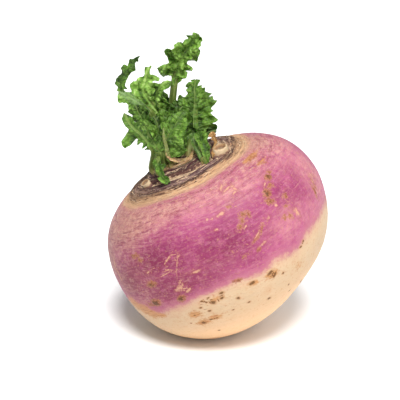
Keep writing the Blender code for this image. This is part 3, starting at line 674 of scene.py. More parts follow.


# The leaves. foot is (radius, angle) on the crown, and stem runs on from it to the first blade, in world
# axes from the crown's middle. Each blade has its midrib's path, then its outline on the left and the right,
# seen from where it faces: (share of the midrib, how far out), running back where a lobe hangs back.
# tone runs from dark green to yellow-green, and turn brings the right side forward. The paths and outlines
# of the blades that show from the front were traced, and a program worked out these numbers from the traced
# points. Some were then changed. The other blades were typed in.
LEAVES = {
    "leaf_tall": dict(foot=(4, 100), stalk=1.6, stem=[(-1.6, 4, 12.5), (-1.6, 4, 19.5)], blades=[
        dict(path=[(-0.9, 3.9, 25.9), (-0.6, 3.8, 28.7), (0.2, 3.4, 30.9), (1.1, 3, 34), (2.7, 2.3, 37.2),
            (4.5, 1.5, 40.3), (6.3, 0.6, 42.8), (8.5, 0, 45.7)],
             left=[(0, 0.5), (0.13, 1.4), (0.15, 3), (0.1, 4.3), (0.12, 5.5), (0.18, 7.4), (0.26, 7.6),
            (0.32, 6.2), (0.33, 3.9), (0.4, 5.2), (0.46, 7.4), (0.53, 6.7), (0.6, 4.4), (0.64, 5.3),
            (0.72, 4.3), (0.72, 2.9), (0.79, 3.1), (0.84, 2.3), (0.87, 3.4), (0.91, 2), (0.97, 1.9),
            (1, 0.4)],
             right=[(0, 0.5), (0.04, 1.2), (0.08, 2.4), (0.2, 3.9), (0.27, 4), (0.28, 3), (0.32, 5.1),
            (0.4, 5.5), (0.43, 4.2), (0.42, 2.6), (0.51, 2.8), (0.54, 5.7), (0.61, 5.5), (0.78, 4.4),
            (0.8, 3.4), (0.89, 2.9), (0.97, 2.4), (1, 0.4)],
             face=(0.1, -1, 0.2), tone=0.52, ruffle=1.5, rib=0.1),
    ]),
    "leaf_right": dict(foot=(9, -42), stalk=2.8, stem=[], blades=[
        dict(path=[(6.7, -2, 6.8), (6.4, -1.4, 10.6), (6.5, -0.6, 14.4), (6.8, 0, 18.1), (6.9, 0.8, 21.9),
            (6.8, 1.6, 24.8), (7.2, 2.5, 27.9)],
             left=[(0, 1.8), (0.1, 3.4), (0.24, 4), (0.38, 4.8), (0.48, 5.8), (0.61, 6.6), (0.72, 6),
            (0.67, 4.6), (0.75, 2.9), (0.82, 3.3), (0.85, 2.6), (0.87, 3.5), (0.93, 2.6), (0.95, 1.3),
            (1, 2), (1, 0.3)],
             right=[(0, 2.4), (0.06, 5), (0.11, 5.2), (0.13, 7.3), (0.07, 9), (0.14, 9.8), (0.21, 9.2),
            (0.22, 7.4), (0.27, 9), (0.32, 9.3), (0.37, 7.6), (0.44, 6.6), (0.47, 7.4), (0.51, 6.7),
            (0.63, 8.8), (0.65, 7.4), (0.72, 7.3), (0.65, 6), (0.7, 5.6), (0.75, 6.9), (0.76, 5.5),
            (0.76, 4.2), (0.84, 4.1), (0.85, 2.9), (0.91, 2.8), (0.86, 0.9), (0.96, 1.7), (1, 1.7),
            (1, 0.3)],
             face=(0.1, -1, 0.3), tone=0.32, ruffle=0.9, rib=0.4, turn=-0.25),
        dict(path=[(9.4, 0.8, 5.2), (12.2, 1.6, 7.6), (15.4, 1.6, 8)],
             left=[(0, 1.6), (0.4, 2.4), (0.6, 1.3), (0.8, 1.6), (1, 0.6)],
             right=[(0, 1), (0.4, 1.6), (0.8, 1.4), (1, 0.6)],
             face=(0, -1, 0.6), tone=0.15),
    ]),
    "leaf_front": dict(foot=(8.6, -102), stalk=1.8, stem=[], blades=[
        dict(path=[(-2.6, -10.5, 0.4), (-3.3, -10.9, 3.6), (-3.3, -11.3, 6.8), (-2.1, -11.6, 10),
            (-0.2, -11.5, 13.1), (1.5, -11, 16), (3.1, -10, 18.3)],
             left=[(0, 0.6), (0.2, 0.7), (0.37, 1.7), (0.47, 2.9), (0.52, 4.4), (0.58, 5.4), (0.62, 4.5),
            (0.72, 3.7), (0.81, 3.8), (0.88, 2.7), (0.94, 1.4), (1, 0.4)],
             right=[(0, 1.4), (0.02, 4.6), (0.1, 6.4), (0.19, 6.9), (0.3, 5.8), (0.4, 6.1), (0.53, 5.2),
            (0.66, 4.2), (0.78, 3.6), (0.92, 2.4), (1, 0.4)],
             face=(0.15, -1, 0.2), tone=0.38, ruffle=0.7, rib=0.2, turn=0.3, cup=0.2),
        dict(path=[(-3.4, -11.3, 1.4), (-3.9, -11.9, 5.4), (-4.6, -12.3, 9), (-4.7, -12.4, 12.5)],
             left=[(0, 0.8), (0.3, 0.6), (0.7, 0.5), (1, 0.2)],
             right=[(0, 1.2), (0.3, 0.8), (0.7, 0.5), (1, 0.2)],
             face=(0.1, -1, 0.2), tone=0.42, ruffle=0.2, rib=0.3, pale=0.35, dry=0.22),
        dict(path=[(-4, -11.4, 3.7), (-2.9, -11, 1.2), (-0.9, -10.1, -0.3), (1.6, -9.7, -0.7),
            (4.3, -9.9, -0.2), (5.5, -10, 0.9), (6.2, -9.7, 3.1)],
             left=[(0, 0.2), (0.2, 0.5), (0.5, 0.6), (0.8, 0.5), (1, 0.2)],
             right=[(0, 0.3), (0.2, 0.8), (0.5, 1), (0.8, 0.8), (1, 0.3)],
             face=(0.1, -1, 0.5), ruffle=0.25, rib=0, dry=1),
    ]),
    "leaf_front_left": dict(foot=(9.4, -132), stalk=2.4, stem=[], blades=[
        dict(path=[(-6.2, -9.6, 2.5), (-8.3, -9.4, 5.8), (-10.3, -9, 9.2), (-12.2, -8.8, 12.4),
            (-13.7, -8.4, 15)],
             left=[(0, 2.4), (0.16, 2.6), (0.24, 4.8), (0.3, 2.8), (0.5, 3.2), (0.68, 3.4), (0.85, 2.6),
            (1, 0.8)],
             right=[(0, 2.6), (0.14, 3.2), (0.34, 3.8), (0.54, 4), (0.67, 4.4), (0.79, 3.3), (0.9, 2),
            (1, 0.6)],
             face=(-0.3, -1, 0.2), tone=0.34, ruffle=0.5, rib=0.5, turn=0.3),
        dict(path=[(-9.8, -8.4, 9.9), (-12.2, -8.2, 13.8), (-14, -7.8, 17.3), (-15.3, -7.2, 19.9)],
             left=[(0, 2.6), (0.2, 3.4), (0.4, 3), (0.5, 3.6), (0.75, 3), (0.9, 3.2), (1, 1)],
             right=[(0, 3), (0.3, 4.2), (0.5, 3.6), (0.7, 4.4), (0.9, 3), (1, 1)],
             face=(-0.3, -1, 0.2), tone=0.24, ruffle=1.1, rib=0.4, turn=0.2),
        dict(path=[(-6.6, -9, 5), (-6.6, -9.4, 9.4), (-7.2, -9.2, 13.4), (-8.6, -8.8, 16.4)],
             left=[(0, 1), (0.3, 2.6), (0.6, 3.2), (0.85, 2.4), (1, 0.5)],
             right=[(0, 1), (0.25, 2.8), (0.5, 3.6), (0.7, 3), (0.9, 2.2), (1, 0.4)],
             face=(0.1, -1, 0.1), ruffle=1, rib=0.3, turn=-0.2),
    ]),
    "leaf_upper_left": dict(foot=(4.8, 170), stalk=1.8, stem=[(-6, -1.2, 8)], blades=[
        dict(path=[(-7.1, -1.5, 16.1), (-9.7, -1.8, 19.3), (-11.8, -2, 22.5), (-12.5, -2, 25.6),
            (-11.9, -1.6, 28.6), (-10.9, -0.8, 31.5), (-9.6, 0, 33.9)],
             left=[(0, 1.5), (0.12, 4), (0.23, 4.7), (0.32, 4.4), (0.39, 4.6), (0.49, 4.5), (0.57, 4.5),
            (0.63, 4), (0.65, 3), (0.74, 2.2), (0.79, 0.8), (0.87, 1.1), (0.93, 0.7), (1, 0.2)],
             right=[(0, 1.5), (0.1, 1.6), (0.26, 2.4), (0.4, 3.9), (0.6, 5), (0.66, 5.5), (0.71, 4.9),
            (0.7, 2.9), (0.79, 4.3), (0.89, 4.1), (0.79, 2.3), (0.82, 1.2), (0.9, 0.4), (1, 0.2)],
             face=(-0.3, -1, 0.4), tone=0.47, ruffle=1.1, rib=0.25, turn=-0.3, strands=0.8),
        dict(path=[(-7.9, 0.5, 16.5), (-8.3, 0.6, 19.6), (-7.7, 0.6, 22.7), (-5.9, 1, 25.3),
            (-4, 1.4, 26.6), (-1.9, 2, 27.3)],
             left=[(0, 1), (0.14, 2), (0.23, 4.2), (0.38, 5.6), (0.49, 5.4), (0.59, 4.1), (0.71, 2.3),
            (0.82, 1.6), (0.92, 1), (1, 0.3)],
             right=[(0, 1.2), (0.05, 4.9), (0.2, 5.4), (0.34, 4.4), (0.41, 5), (0.5, 2.4), (0.66, 1.9),
            (0.82, 2.4), (0.93, 1.7), (1, 0.3)],
             face=(0.1, -1, 0.8), tone=0.5, ruffle=0.9, rib=0.3, turn=0.35, strands=0.8),
    ]),
    "leaf_curled_left": dict(foot=(8.6, -177), stalk=1.7, stem=[(-7.6, -3, 8), (-8.2, -4.4, 13)], blades=[
        dict(path=[(-10.2, -5.5, 17.1), (-12.6, -5.6, 19.4), (-15, -5.6, 21.2), (-17.9, -5.4, 22.8),
            (-20.3, -5, 24.1), (-21.8, -4.5, 24.6)],
             left=[(0, 1.4), (0.19, 3.4), (0.37, 4.3), (0.46, 4.8), (0.55, 4.5), (0.62, 2.8), (0.75, 3.1),
            (0.82, 4), (0.92, 2.6), (0.97, 1.5), (1, 0.4)],
             right=[(0, 0.6), (0.25, 0.9), (0.44, 1), (0.59, 1.3), (0.7, 1.9), (0.82, 1.2), (0.91, 1.4),
            (1, 0.5)],
             face=(0, -1, 0.6), ruffle=0.7, rib=0.3, pale=1, strands=0.7),
        dict(path=[(-21.1, -4, 24.6), (-20.8, -4, 27.5), (-20.3, -3.7, 29.6), (-19.2, -3.4, 31.9),
            (-17.7, -3.1, 33.9), (-16.3, -2.8, 35.3), (-14.8, -2.6, 36.8), (-13.7, -2.5, 37.9)],
             left=[(0, 1.4), (0.1, 1.1), (0.16, 2.3), (0.24, 2.3), (0.34, 2.1), (0.47, 1.5), (0.52, 2.4),
            (0.61, 2), (0.64, 0.8), (0.76, 1.8), (0.85, 1), (1, 0.1)],
             right=[(0, 1.8), (0.08, 1.4), (0.12, 2.7), (0.19, 1.9), (0.29, 1.9), (0.48, 1.8), (0.59, 2.2),
            (0.69, 2.8), (0.78, 1.2), (0.85, 0.7), (0.89, 1.4), (0.93, 0.5), (1, 0.1)],
             face=(-0.2, -1, 0.3), tone=0.26, rib=0.1, turn=0.3),
    ]),
    "leaf_low_left": dict(foot=(10.6, -164), stalk=1.5, stem=[(-8.4, -8.4, 2)], blades=[
        dict(path=[(-9.8, -9, 4.9), (-11.9, -9, 7.4), (-13.9, -9, 9.6), (-16, -8.8, 11.5),
            (-18, -8.2, 13.8), (-19.7, -7.4, 17.1)],
             left=[(0, 1), (0.05, 1.4), (0.07, 3.3), (0.15, 1.6), (0.21, 2.2), (0.22, 3.6), (0.33, 2.2),
            (0.36, 3.3), (0.34, 5.8), (0.42, 7.9), (0.53, 7.6), (0.59, 4.8), (0.59, 2.1), (0.63, 1.7),
            (0.75, 1.8), (0.9, 1.8), (0.96, 0.9), (1, 0.2)],
             right=[(0, 2.2), (0.12, 4.4), (0.3, 6.2), (0.45, 6.6), (0.58, 5), (0.64, 2.6), (0.72, 2),
            (0.82, 2.2), (0.93, 1.1), (1, 0.2)],
             face=(-0.1, -1, 0.3), tone=0.34, ruffle=0.5, rib=0.9, turn=0.1),
    ]),
    "leaf_drooping": dict(foot=(12, -132), stalk=1.2, stem=[], blades=[
        dict(path=[(-7.1, -10.4, 0.4), (-6.6, -12.2, -2.2), (-5.9, -14.6, -4.2), (-4.7, -17.2, -5.6),
            (-2.8, -19.9, -6.5)],
             left=[(0, 1.4), (0.2, 1), (0.23, 2.3), (0.34, 2.7), (0.44, 1.3), (0.64, 1.2), (0.73, 0.8),
            (0.87, 1.4), (1, 0.6)],
             right=[(0, 1.2), (0.17, 2), (0.33, 1.6), (0.51, 1.3), (0.66, 1.1), (0.76, 2.2), (0.9, 2.1),
            (1, 0.6)],
             face=(-0.3, -0.7, 0.9), tone=0.36, rib=0.2),
    ]),
    "leaf_young_right": dict(foot=(17.4, -57), stalk=0.9, stem=[], blades=[
        dict(path=[(11.4, -15, 0), (10.9, -13.8, 4.4), (9.9, -12.5, 7.3), (8.9, -11.4, 9.6),
            (8.4, -10.8, 10.6)],
             left=[(0, 0.8), (0.3, 1.5), (0.55, 2), (0.75, 2.6), (0.9, 2.2), (1, 0.5)],
             right=[(0, 0.9), (0.3, 1.6), (0.5, 1.9), (0.65, 1.7), (0.8, 2.6), (0.92, 2), (1, 0.5)],
             face=(0.2, -1, 0.2), tone=0.42, ruffle=0.5, rib=-0.2, cup=0.5),
        dict(path=[(10.5, -14.9, -0.4), (8.8, -13.6, 2.6), (7.2, -12.4, 5.3), (6.6, -11.6, 7.5),
            (6.7, -11, 9.1)],
             left=[(0, 0.8), (0.3, 0.9), (0.6, 0.8), (0.85, 1), (1, 0.4)],
             right=[(0, 0.8), (0.3, 0.8), (0.6, 1.1), (0.85, 1.5), (1, 0.4)],
             face=(0.1, -1, 0.2), ruffle=0.3, rib=0.4, pale=0.25),
    ]),
    "leaf_back_left": dict(foot=(8.6, 132), stalk=1.8, stem=[], blades=[
        dict(path=[(-5.2, 7.4, 6.5), (-5.4, 8, 12.4), (-5.6, 7.8, 17.4), (-5.8, 7.2, 22)],
             left=[(0, 1.4), (0.12, 5), (0.22, 6.4), (0.3, 4.6), (0.42, 7), (0.54, 6.4), (0.6, 4),
            (0.74, 5), (0.84, 3), (0.93, 3), (1, 0.5)],
             right=[(0, 1.4), (0.12, 4.2), (0.24, 6), (0.3, 4.2), (0.44, 6.4), (0.56, 5.8), (0.62, 3.6),
            (0.76, 4.2), (0.85, 2.6), (0.94, 2.4), (1, 0.5)],
             face=(-0.1, -1, 0.1), tone=0.28, ruffle=1),
    ]),
    "leaf_back_right": dict(foot=(8.4, 35), stalk=1.8, stem=[], blades=[
        dict(path=[(8.4, 6.4, 6.2), (9.6, 7.4, 11.4), (10.6, 7.8, 15.6), (11.6, 7.4, 19.2)],
             left=[(0, 1.2), (0.14, 4.6), (0.26, 5.4), (0.34, 3.8), (0.5, 5), (0.6, 3), (0.78, 3.4),
            (0.9, 1.8), (1, 0.4)],
             right=[(0, 1.2), (0.16, 3.2), (0.28, 3.8), (0.36, 2.4), (0.5, 3.4), (0.6, 2), (0.78, 2.6),
            (0.9, 1.4), (1, 0.4)],
             face=(0.1, -1, 0.4), ruffle=0.9),
    ]),
    "leaf_back": dict(foot=(9.4, 80), stalk=1.6, stem=[], blades=[
        dict(path=[(1.6, 11.2, 4.9), (1.9, 13.2, 9.8), (2.6, 14.6, 14)],
             left=[(0, 1), (0.14, 4.2), (0.28, 5.4), (0.36, 3.6), (0.54, 5), (0.64, 3), (0.8, 3.6),
            (0.92, 2), (1, 0.4)],
             right=[(0, 1), (0.14, 4), (0.28, 5.2), (0.38, 3.4), (0.56, 4.8), (0.66, 2.8), (0.82, 3.4),
            (0.93, 1.8), (1, 0.4)],
             face=(0, 1, 0.5), tone=0.4, ruffle=0.9),
    ]),
    "leaf_inner": dict(foot=(3.4, -60), stalk=1.8, stem=[], blades=[
        dict(path=[(2.4, -5.4, 0.8), (2, -4.8, 7), (1, -3.8, 15), (-0.4, -2.8, 21)],
             left=[(0, 4), (0.2, 5.6), (0.4, 7), (0.52, 5.4), (0.7, 6), (0.84, 3.4), (0.93, 2.4), (1, 0.4)],
             right=[(0, 4.6), (0.2, 5.4), (0.4, 6), (0.5, 4.8), (0.66, 5), (0.84, 3), (0.93, 2), (1, 0.4)],
             face=(0, -1, 0.2), tone=0.26, rib=0.2),
        dict(path=[(-4.2, -6, 3), (-4.8, -6.4, 8), (-4.6, -5.8, 13.4), (-5.4, -5, 18)],
             left=[(0, 2), (0.25, 4), (0.5, 4.4), (0.75, 3.4), (0.92, 2), (1, 0.4)],
             right=[(0, 2), (0.25, 4.4), (0.5, 4.8), (0.75, 3.6), (0.92, 2), (1, 0.4)],
             face=(0.1, -1, 0.1), tone=0.34, ruffle=0.9, rib=0.3),
    ]),
    "dry_leaf_right": dict(foot=(18.5, -44), stalk=0.5, stem=[], blades=[
        dict(path=[(14, -7.8, 2.6), (14.7, -7.2, 5), (14.6, -6.9, 6.8), (13.9, -6.6, 8.4),
            (13.4, -6.5, 9.5)],
             left=[(0, 0.6), (0.26, 0.4), (0.5, 0.5), (0.62, 1.6), (0.7, 0.7), (0.85, 2), (0.95, 1.2),
            (1, 0.3)],
             right=[(0, 0.6), (0.3, 0.4), (0.5, 0.8), (0.62, 0.4), (0.8, 1.1), (0.95, 0.8), (1, 0.3)],
             face=(0.2, -1, 0), ruffle=0.7),
    ]),
    "dry_leaf_back": dict(foot=(15.4, 62), stalk=0.5, stem=[], blades=[
        dict(path=[(7.4, 14.8, 4.6), (7, 16, 7), (7.6, 17.4, 9)],
             left=[(0, 0.8), (0.3, 1.6), (0.6, 1.2), (0.8, 1.7), (1, 0.5)],
             right=[(0, 0.8), (0.3, 1.4), (0.6, 1.6), (0.8, 1.2), (1, 0.5)],
             face=(0.2, 1, 0.2), ruffle=0.7),
    ]),
}
BLADE = dict(tone=0.3, ruffle=0.8, rib=0.35, turn=0.0, cup=0.1, pale=0.0, dry=0.0, strands=0.25)
BLADE_THICKNESS = 0.3
BLADE_ROWS, BLADE_COLUMNS = 130, 43
VEIN_SPACING = 2.4
CELL = 1.5
STALK_ROWS, STALK_SIDES = 90, 20
FOOT_DEPTH = 1.4


def foot_of(radius, degrees):
    """A stalk's foot, just inside the crown, from the crown's middle in world axes, and the way out there."""
    down = np.interp(radius, section_line[:CROWN_STEPS, 0], section_down[:CROWN_STEPS])
    here, beyond = root_point(down, degrees), root_point(down + 1, degrees)
    slope = beyond - here
    side = np.cross([0, 0, 1.0], slope)
    out = np.cross(slope, side)
    out = TO_WORLD @ (out / np.linalg.norm(out))
    return to_world(here) - CROWN - out * FOOT_DEPTH, out


def unit(vectors):
    return vectors / np.maximum(np.linalg.norm(vectors, axis=-1, keepdims=True), 1e-9)


def midrib(path, face, count):
    """Points along a midrib, the directions ahead, to the left and to the front at each, and the length."""
    line, length = curve_through(path, count)
    ahead = unit(np.gradient(line, axis=0))
    left = unit(np.cross(face, ahead))
    return line + CROWN, ahead, left, np.cross(ahead, left), length


def outline_rows(table, length, rows):
    """Where each row of a blade ends on its outline: the share of the midrib there, and how far out it is."""
    line, _ = curve_through([(share * length, reach) for share, reach in table], 40 * len(table))
    arc = np.linspace(0, 1, len(line))
    pull = np.maximum.accumulate(line[:, 0]) / length + arc
    place = np.interp(np.linspace(pull[0], pull[-1], rows), pull, np.arange(len(line)))
    whole = np.arange(len(line))
    return np.interp(place, whole, line[:, 0]) / length, np.maximum(np.interp(place, whole, line[:, 1]), 0.1)


def make_blade(blade, seed):
    """A blade as a closed thin shell: lobed, puffed up between veins, crinkled, curled at its edges."""
    blade = {**BLADE, **blade}
    rows, columns = BLADE_ROWS, BLADE_COLUMNS
    line, ahead, left, front, length = midrib(blade["path"], blade["face"], 200)
    v = np.linspace(-1, 1, columns)[None, :] + np.zeros((rows, 1))
    out, side = abs(v), np.sign(v)
    row = np.linspace(0, 1, rows)[:, None]
    share, reach = np.zeros(v.shape), np.zeros(v.shape)
    for name, half in (("left", v < 0), ("right", v >= 0)):
        ends, wide = outline_rows(blade[name], length, rows)
        share = np.where(half, row + (ends[:, None] - row) * out, share)
        reach = np.where(half, wide[:, None], reach)
    along, wide = share * length, reach * out
    sheet = np.stack([along, side * wide + seed * 20, 0 * v], -1)
    ragged = smooth_noise(sheet, 0.9, seed + 2) * out**2
    wide = wide + 0.3 * ragged * np.clip(reach / 2, 0, 1)
    ruffle = blade["ruffle"]
    curl = layered_noise(sheet, 5.5, seed + 5, 2)
    crinkle = layered_noise(sheet, 2.0, seed + 7, 2)
    frill = smooth_noise(sheet * (1, 0.3, 1), 1.4, seed + 6)
    cells = between_cells(along - 0.6 * wide, (side * wide + seed * 20) / 1.8, CELL, seed + 9)
    puff = np.clip(cells / 0.5, 0, 1)
    puff = puff * (2 - puff) * np.clip(wide, 0, 1)
    vein_turn = math.pi * (along - 0.5 * wide + 1.2 * curl) / VEIN_SPACING
    groove = np.exp(-((np.sin(vein_turn) / 0.25) ** 2)) * np.clip(1.3 - out, 0, 1) * np.clip(wide, 0, 1)
    rise = blade["cup"] * wide * out + blade["turn"] * wide * side
    rise += ruffle * (2.6 * curl * np.clip(wide / 4, 0, 1.4) + 2.5 * crinkle * np.clip(wide / 1.5, 0, 1))
    rise += ruffle * 1.3 * frill * out**2 + 0.35 * puff - 0.12 * groove
    forward = ruffle * (0.5 * crinkle + 0.5 * curl) * out
    where = share * (len(line) - 1)

    def spread(field):
        return np.stack([np.interp(where, np.arange(len(line)), field[:, k]) for k in range(3)], -1)

    points = (spread(line) - spread(left) * (side * wide)[..., None] + spread(ahead) * forward[..., None]
              + spread(front) * rise[..., None])
    normals = grid_normals(points, False)
    towards = np.sum(normals * spread(front), axis=-1, keepdims=True)
    normals = np.where(towards.mean() < 0, -normals, normals)
    half = normals * (BLADE_THICKNESS / 2 * (1 - 0.5 * out**2)[..., None])
    shell = np.concatenate([(points + half).reshape(-1, 3), (points - half).reshape(-1, 3)])
    count = rows * columns
    faces = [grid_faces(rows, columns, False, flip=True), grid_faces(rows, columns, False, start=count)]
    rim = np.r_[np.arange(columns), np.arange(1, rows) * columns + columns - 1,
                count - 1 - np.arange(1, columns), np.arange(rows - 2, 0, -1) * columns]
    after = np.roll(rim, -1)
    faces.append(np.stack([rim, after, after + count, rim + count], -1))
    vein = np.maximum(0.9 * groove, 0.35 * np.exp(-((cells / 0.1) ** 2)) * np.clip(wide, 0, 1))
    vein = np.maximum(vein, 2 * blade["rib"] * np.exp(-((wide / 0.4) ** 2)))
    ribs = 0.5 + 0.5 * np.cos(TAU * (side * wide + 0.4 * curl) / 1.5)
    strands = layered_noise(sheet * (0.22, 1.0, 1), 1.1, seed + 12, 2)
    values = {
        "vein": vein,
        # puff: how far the blade rises in its crinkles and puffs, which the material paints as highlight on
        # crests and shade in creases
        "puff": 0.6 * crinkle + 0.5 * puff - 0.35 + 0.25 * curl * np.clip(wide / 4, 0, 1),
        # tone: lighter towards the edges as painted highlight on the curled edges, plus streaks along the
        # blade
        "tone": blade["tone"] + 0.12 * out + blade["strands"] * strands,
        "pale": blade["pale"] * (0.55 + 0.45 * ribs) * np.clip(1.6 - wide / 1.5, 0, 1),
        "stalk": 0 * v,
        "dry": blade["dry"] + 0 * v,
    }
    values = {key: np.tile(value.ravel(), 2) for key, value in values.items()}
    values["front"] = np.r_[np.ones(count), np.zeros(count)]
    values["place"] = np.tile(sheet.reshape(-1, 3), (2, 1))
    return shell, np.vstack(faces), values


def make_stalk(leaf, seed):
    """The stalk and midrib: one tapering tube, flattened and grooved on its front, flared at its foot."""
    rows = STALK_ROWS
    foot, out = foot_of(*leaf["foot"])
    path = [foot, foot + out * (FOOT_DEPTH + 1.6), *leaf["stem"], *leaf["blades"][0]["path"]]
    line, ahead, left, front, length = midrib(path, leaf["blades"][0]["face"], rows)
    _, blade_length = curve_through(leaf["blades"][0]["path"], 50)
    reach = np.linspace(0, length, rows)[:, None]
    blade = np.clip((reach - length + blade_length) / blade_length, 0, 1)
    turn = np.arange(STALK_SIDES)[None, :] / STALK_SIDES * TAU
    below = np.clip(reach / max(length - blade_length, 1), 0, 1)
    thick = leaf["stalk"] * (1 - 0.25 * below) * (1 - blade) ** 0.9
    thick = thick * (1 + 0.45 * np.exp(-((reach / 2.6) ** 2))) + 0.1
    ridges = 1 + 0.07 * np.cos(6 * turn + seed) * (1 - blade)
    x, y = np.cos(turn) * ridges, np.sin(turn) * ridges
    y = np.where(y > 0, y * (0.5 - 0.25 * np.exp(-((x / 0.5) ** 2))), y * 0.85)
    points = (line[:, None] + left[:, None] * (x * thick)[..., None]
              + front[:, None] * (y * thick - np.where(blade > 0, 0.25 * thick, 0))[..., None])
    faces = grid_faces(rows, STALK_SIDES, True).tolist()
    faces.append(list(range(STALK_SIDES)))
    faces.append([(rows - 1) * STALK_SIDES + j for j in reversed(range(STALK_SIDES))])
    level = 0 * turn
    values = {
        "vein": 0.4 + level + 0 * reach,
        # puff carries the blades' painted highlight and shade; the stalk gets none
        "puff": level + 0 * reach,
        "tone": leaf["blades"][0].get("tone", 0.3) + level + 0 * reach,
        "pale": level + 0 * reach,
        "stalk": 1 - 0.7 * blade + level,
        "dry": 0.8 * np.exp(-((reach / 2.2) ** 2)) + level,
        "front": (y > 0) + 0.0 * reach,
    }
    values = {key: value.ravel() for key, value in values.items()}
    values["place"] = np.stack([0.15 * reach + level, x * thick, y * thick + seed * 11], -1).reshape(-1, 3)
    return points.reshape(-1, 3), np.array(faces, object), values


def make_leaf(name, leaf, seed, slot):
    """A whole leaf, which stands for the CAD solid of its name."""
    pieces = [make_stalk(leaf, seed)]
    pieces += [make_blade(blade, seed + 40 * number) for number, blade in enumerate(leaf["blades"])]
    faces, start = [], 0
    for points, own, _ in pieces:
        faces += [[v + start for v in face] for face in own]
        start += len(points)
    values = {key: np.concatenate([piece[2][key] for piece in pieces]) for key in pieces[0][2]}
    material = dry_material(name) if slot == "dry_leaf" else leaf_material(name)
    made = add_mesh("turnip_" + name, np.vstack([piece[0] for piece in pieces]), faces, values, material)
    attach(made, "root")
    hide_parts(name)


# Colours from dark to light, as (place in a noise or a tone, colour)
LEAF_GREENS = [
    (0.0, (34, 54, 16)), (0.25, (72, 106, 34)), (0.55, (110, 150, 54)), (0.8, (148, 192, 84)),
    (1.0, (188, 226, 124)),
]
STEM_GREENS = [(0.3, (84, 108, 38)), (0.55, (118, 138, 60)), (0.75, (158, 172, 96))]
PAPERY_BROWNS = [(0.3, (170, 128, 84)), (0.5, (228, 188, 132)), (0.7, (250, 220, 170))]
WITHERED_BROWNS = [(0.3, (110, 74, 38)), (0.48, (196, 146, 86)), (0.66, (244, 206, 150))]


def leaf_material(name):
    """Leaf green, lighter on veins, with painted highlight where it is puffed up and painted shade in its
    creases, pale and ribbed on a turned-up underside.
    """
    p = Paint("turnip_" + name)
    place = p.place("place")
    broad = p.noise(place, 0.25, 3, 0.6)
    coarse = p.noise(place, 1.6, 3, 0.6)
    fine = p.noise(place, 1.1, 3, 0.6)
    dots = p.noise(place, 3.0, 2, 0.5)
    # painted highlight and shade: lighter where the blade rises, darker where it sinks
    tone = p.sum(p.value("tone"), p.times(p.value("puff"), 0.3))
    # broad random patches of tone, and a fine mottle that is also painted highlight on the fine bumps' crests
    tone = p.sum(p.sum(tone, p.swing(broad, 1.1)), p.swing(fine, 0.7))
    veined = [((164, 192, 100), p.step(p.value("vein"), 0.15, 0.8), 0.5)]
    green = p.layered(p.ramp(tone, LEAF_GREENS), veined)
    green = p.mix(p.value("front"), p.mix(0.4, green, (132, 164, 120)), green)
    green = p.layered(green, [
        ((150, 182, 116), p.value("pale"), 0.85),
        (p.ramp(coarse, STEM_GREENS), p.step(p.value("stalk"), 0.35, 0.8)),
        (p.ramp(coarse, PAPERY_BROWNS), p.value("dry")),
    ])
    bumps = p.bump(dots, 0.06, 0.5, p.bump(fine, 0.2, 0.6))
    return p.grown(green, p.sum(0.4, p.times(dots, 0.25)), bumps, 0.2, (0.5, 1.0, 0.15))


def dry_material(name):
    """A withered leaf: mottled papery orange-brown, darker in its folds, which is painted shade where its
    bumps sink.
    """
    p = Paint("turnip_" + name)
    place = p.place("place")
    fine = p.noise(place, 1.2, 4, 0.65)
    # painted shade: the noise that sinks the bumps also darkens them
    brown = p.ramp(fine, WITHERED_BROWNS)
    return p.grown(brown, p.sum(0.6, p.times(fine, 0.3)), p.bump(fine, 0.3, 0.8), 0.1, (1.0, 0.6, 0.3))


CUT_STALKS = {
    "cut_stalk_right": dict(foot=(19.3, -33), half=(3.4, 2.6), height=2.3),
    "cut_stalk_back": dict(foot=(15.6, 128), half=(2.9, 2.0), height=2.2),
    "cut_stalk_left": dict(foot=(17.0, -152), half=(2.7, 1.7), height=1.3),
}
# A stump from its foot up over its rim and down into its dished top, as (share of its height, share of its
# half width), and its colours in that order
STUMP = [
    (-0.6, 1.45), (-0.2, 1.3), (0.15, 1.14), (0.5, 1.03), (0.8, 1.0), (0.95, 0.96), (1.02, 0.88),
    (0.98, 0.78), (0.84, 0.68), (0.74, 0.5), (0.7, 0.3), (0.72, 0.12),
]
STUMP_COLOURS = [
    (0.1, (120, 84, 80)), (0.3, (150, 112, 92)), (0.42, (232, 202, 162)), (0.6, (250, 222, 182)),
    (0.72, (196, 154, 110)), (0.85, (158, 116, 86)), (1.0, (186, 160, 130)),
]
STUMP_ROWS, STUMP_SIDES = 60, 96


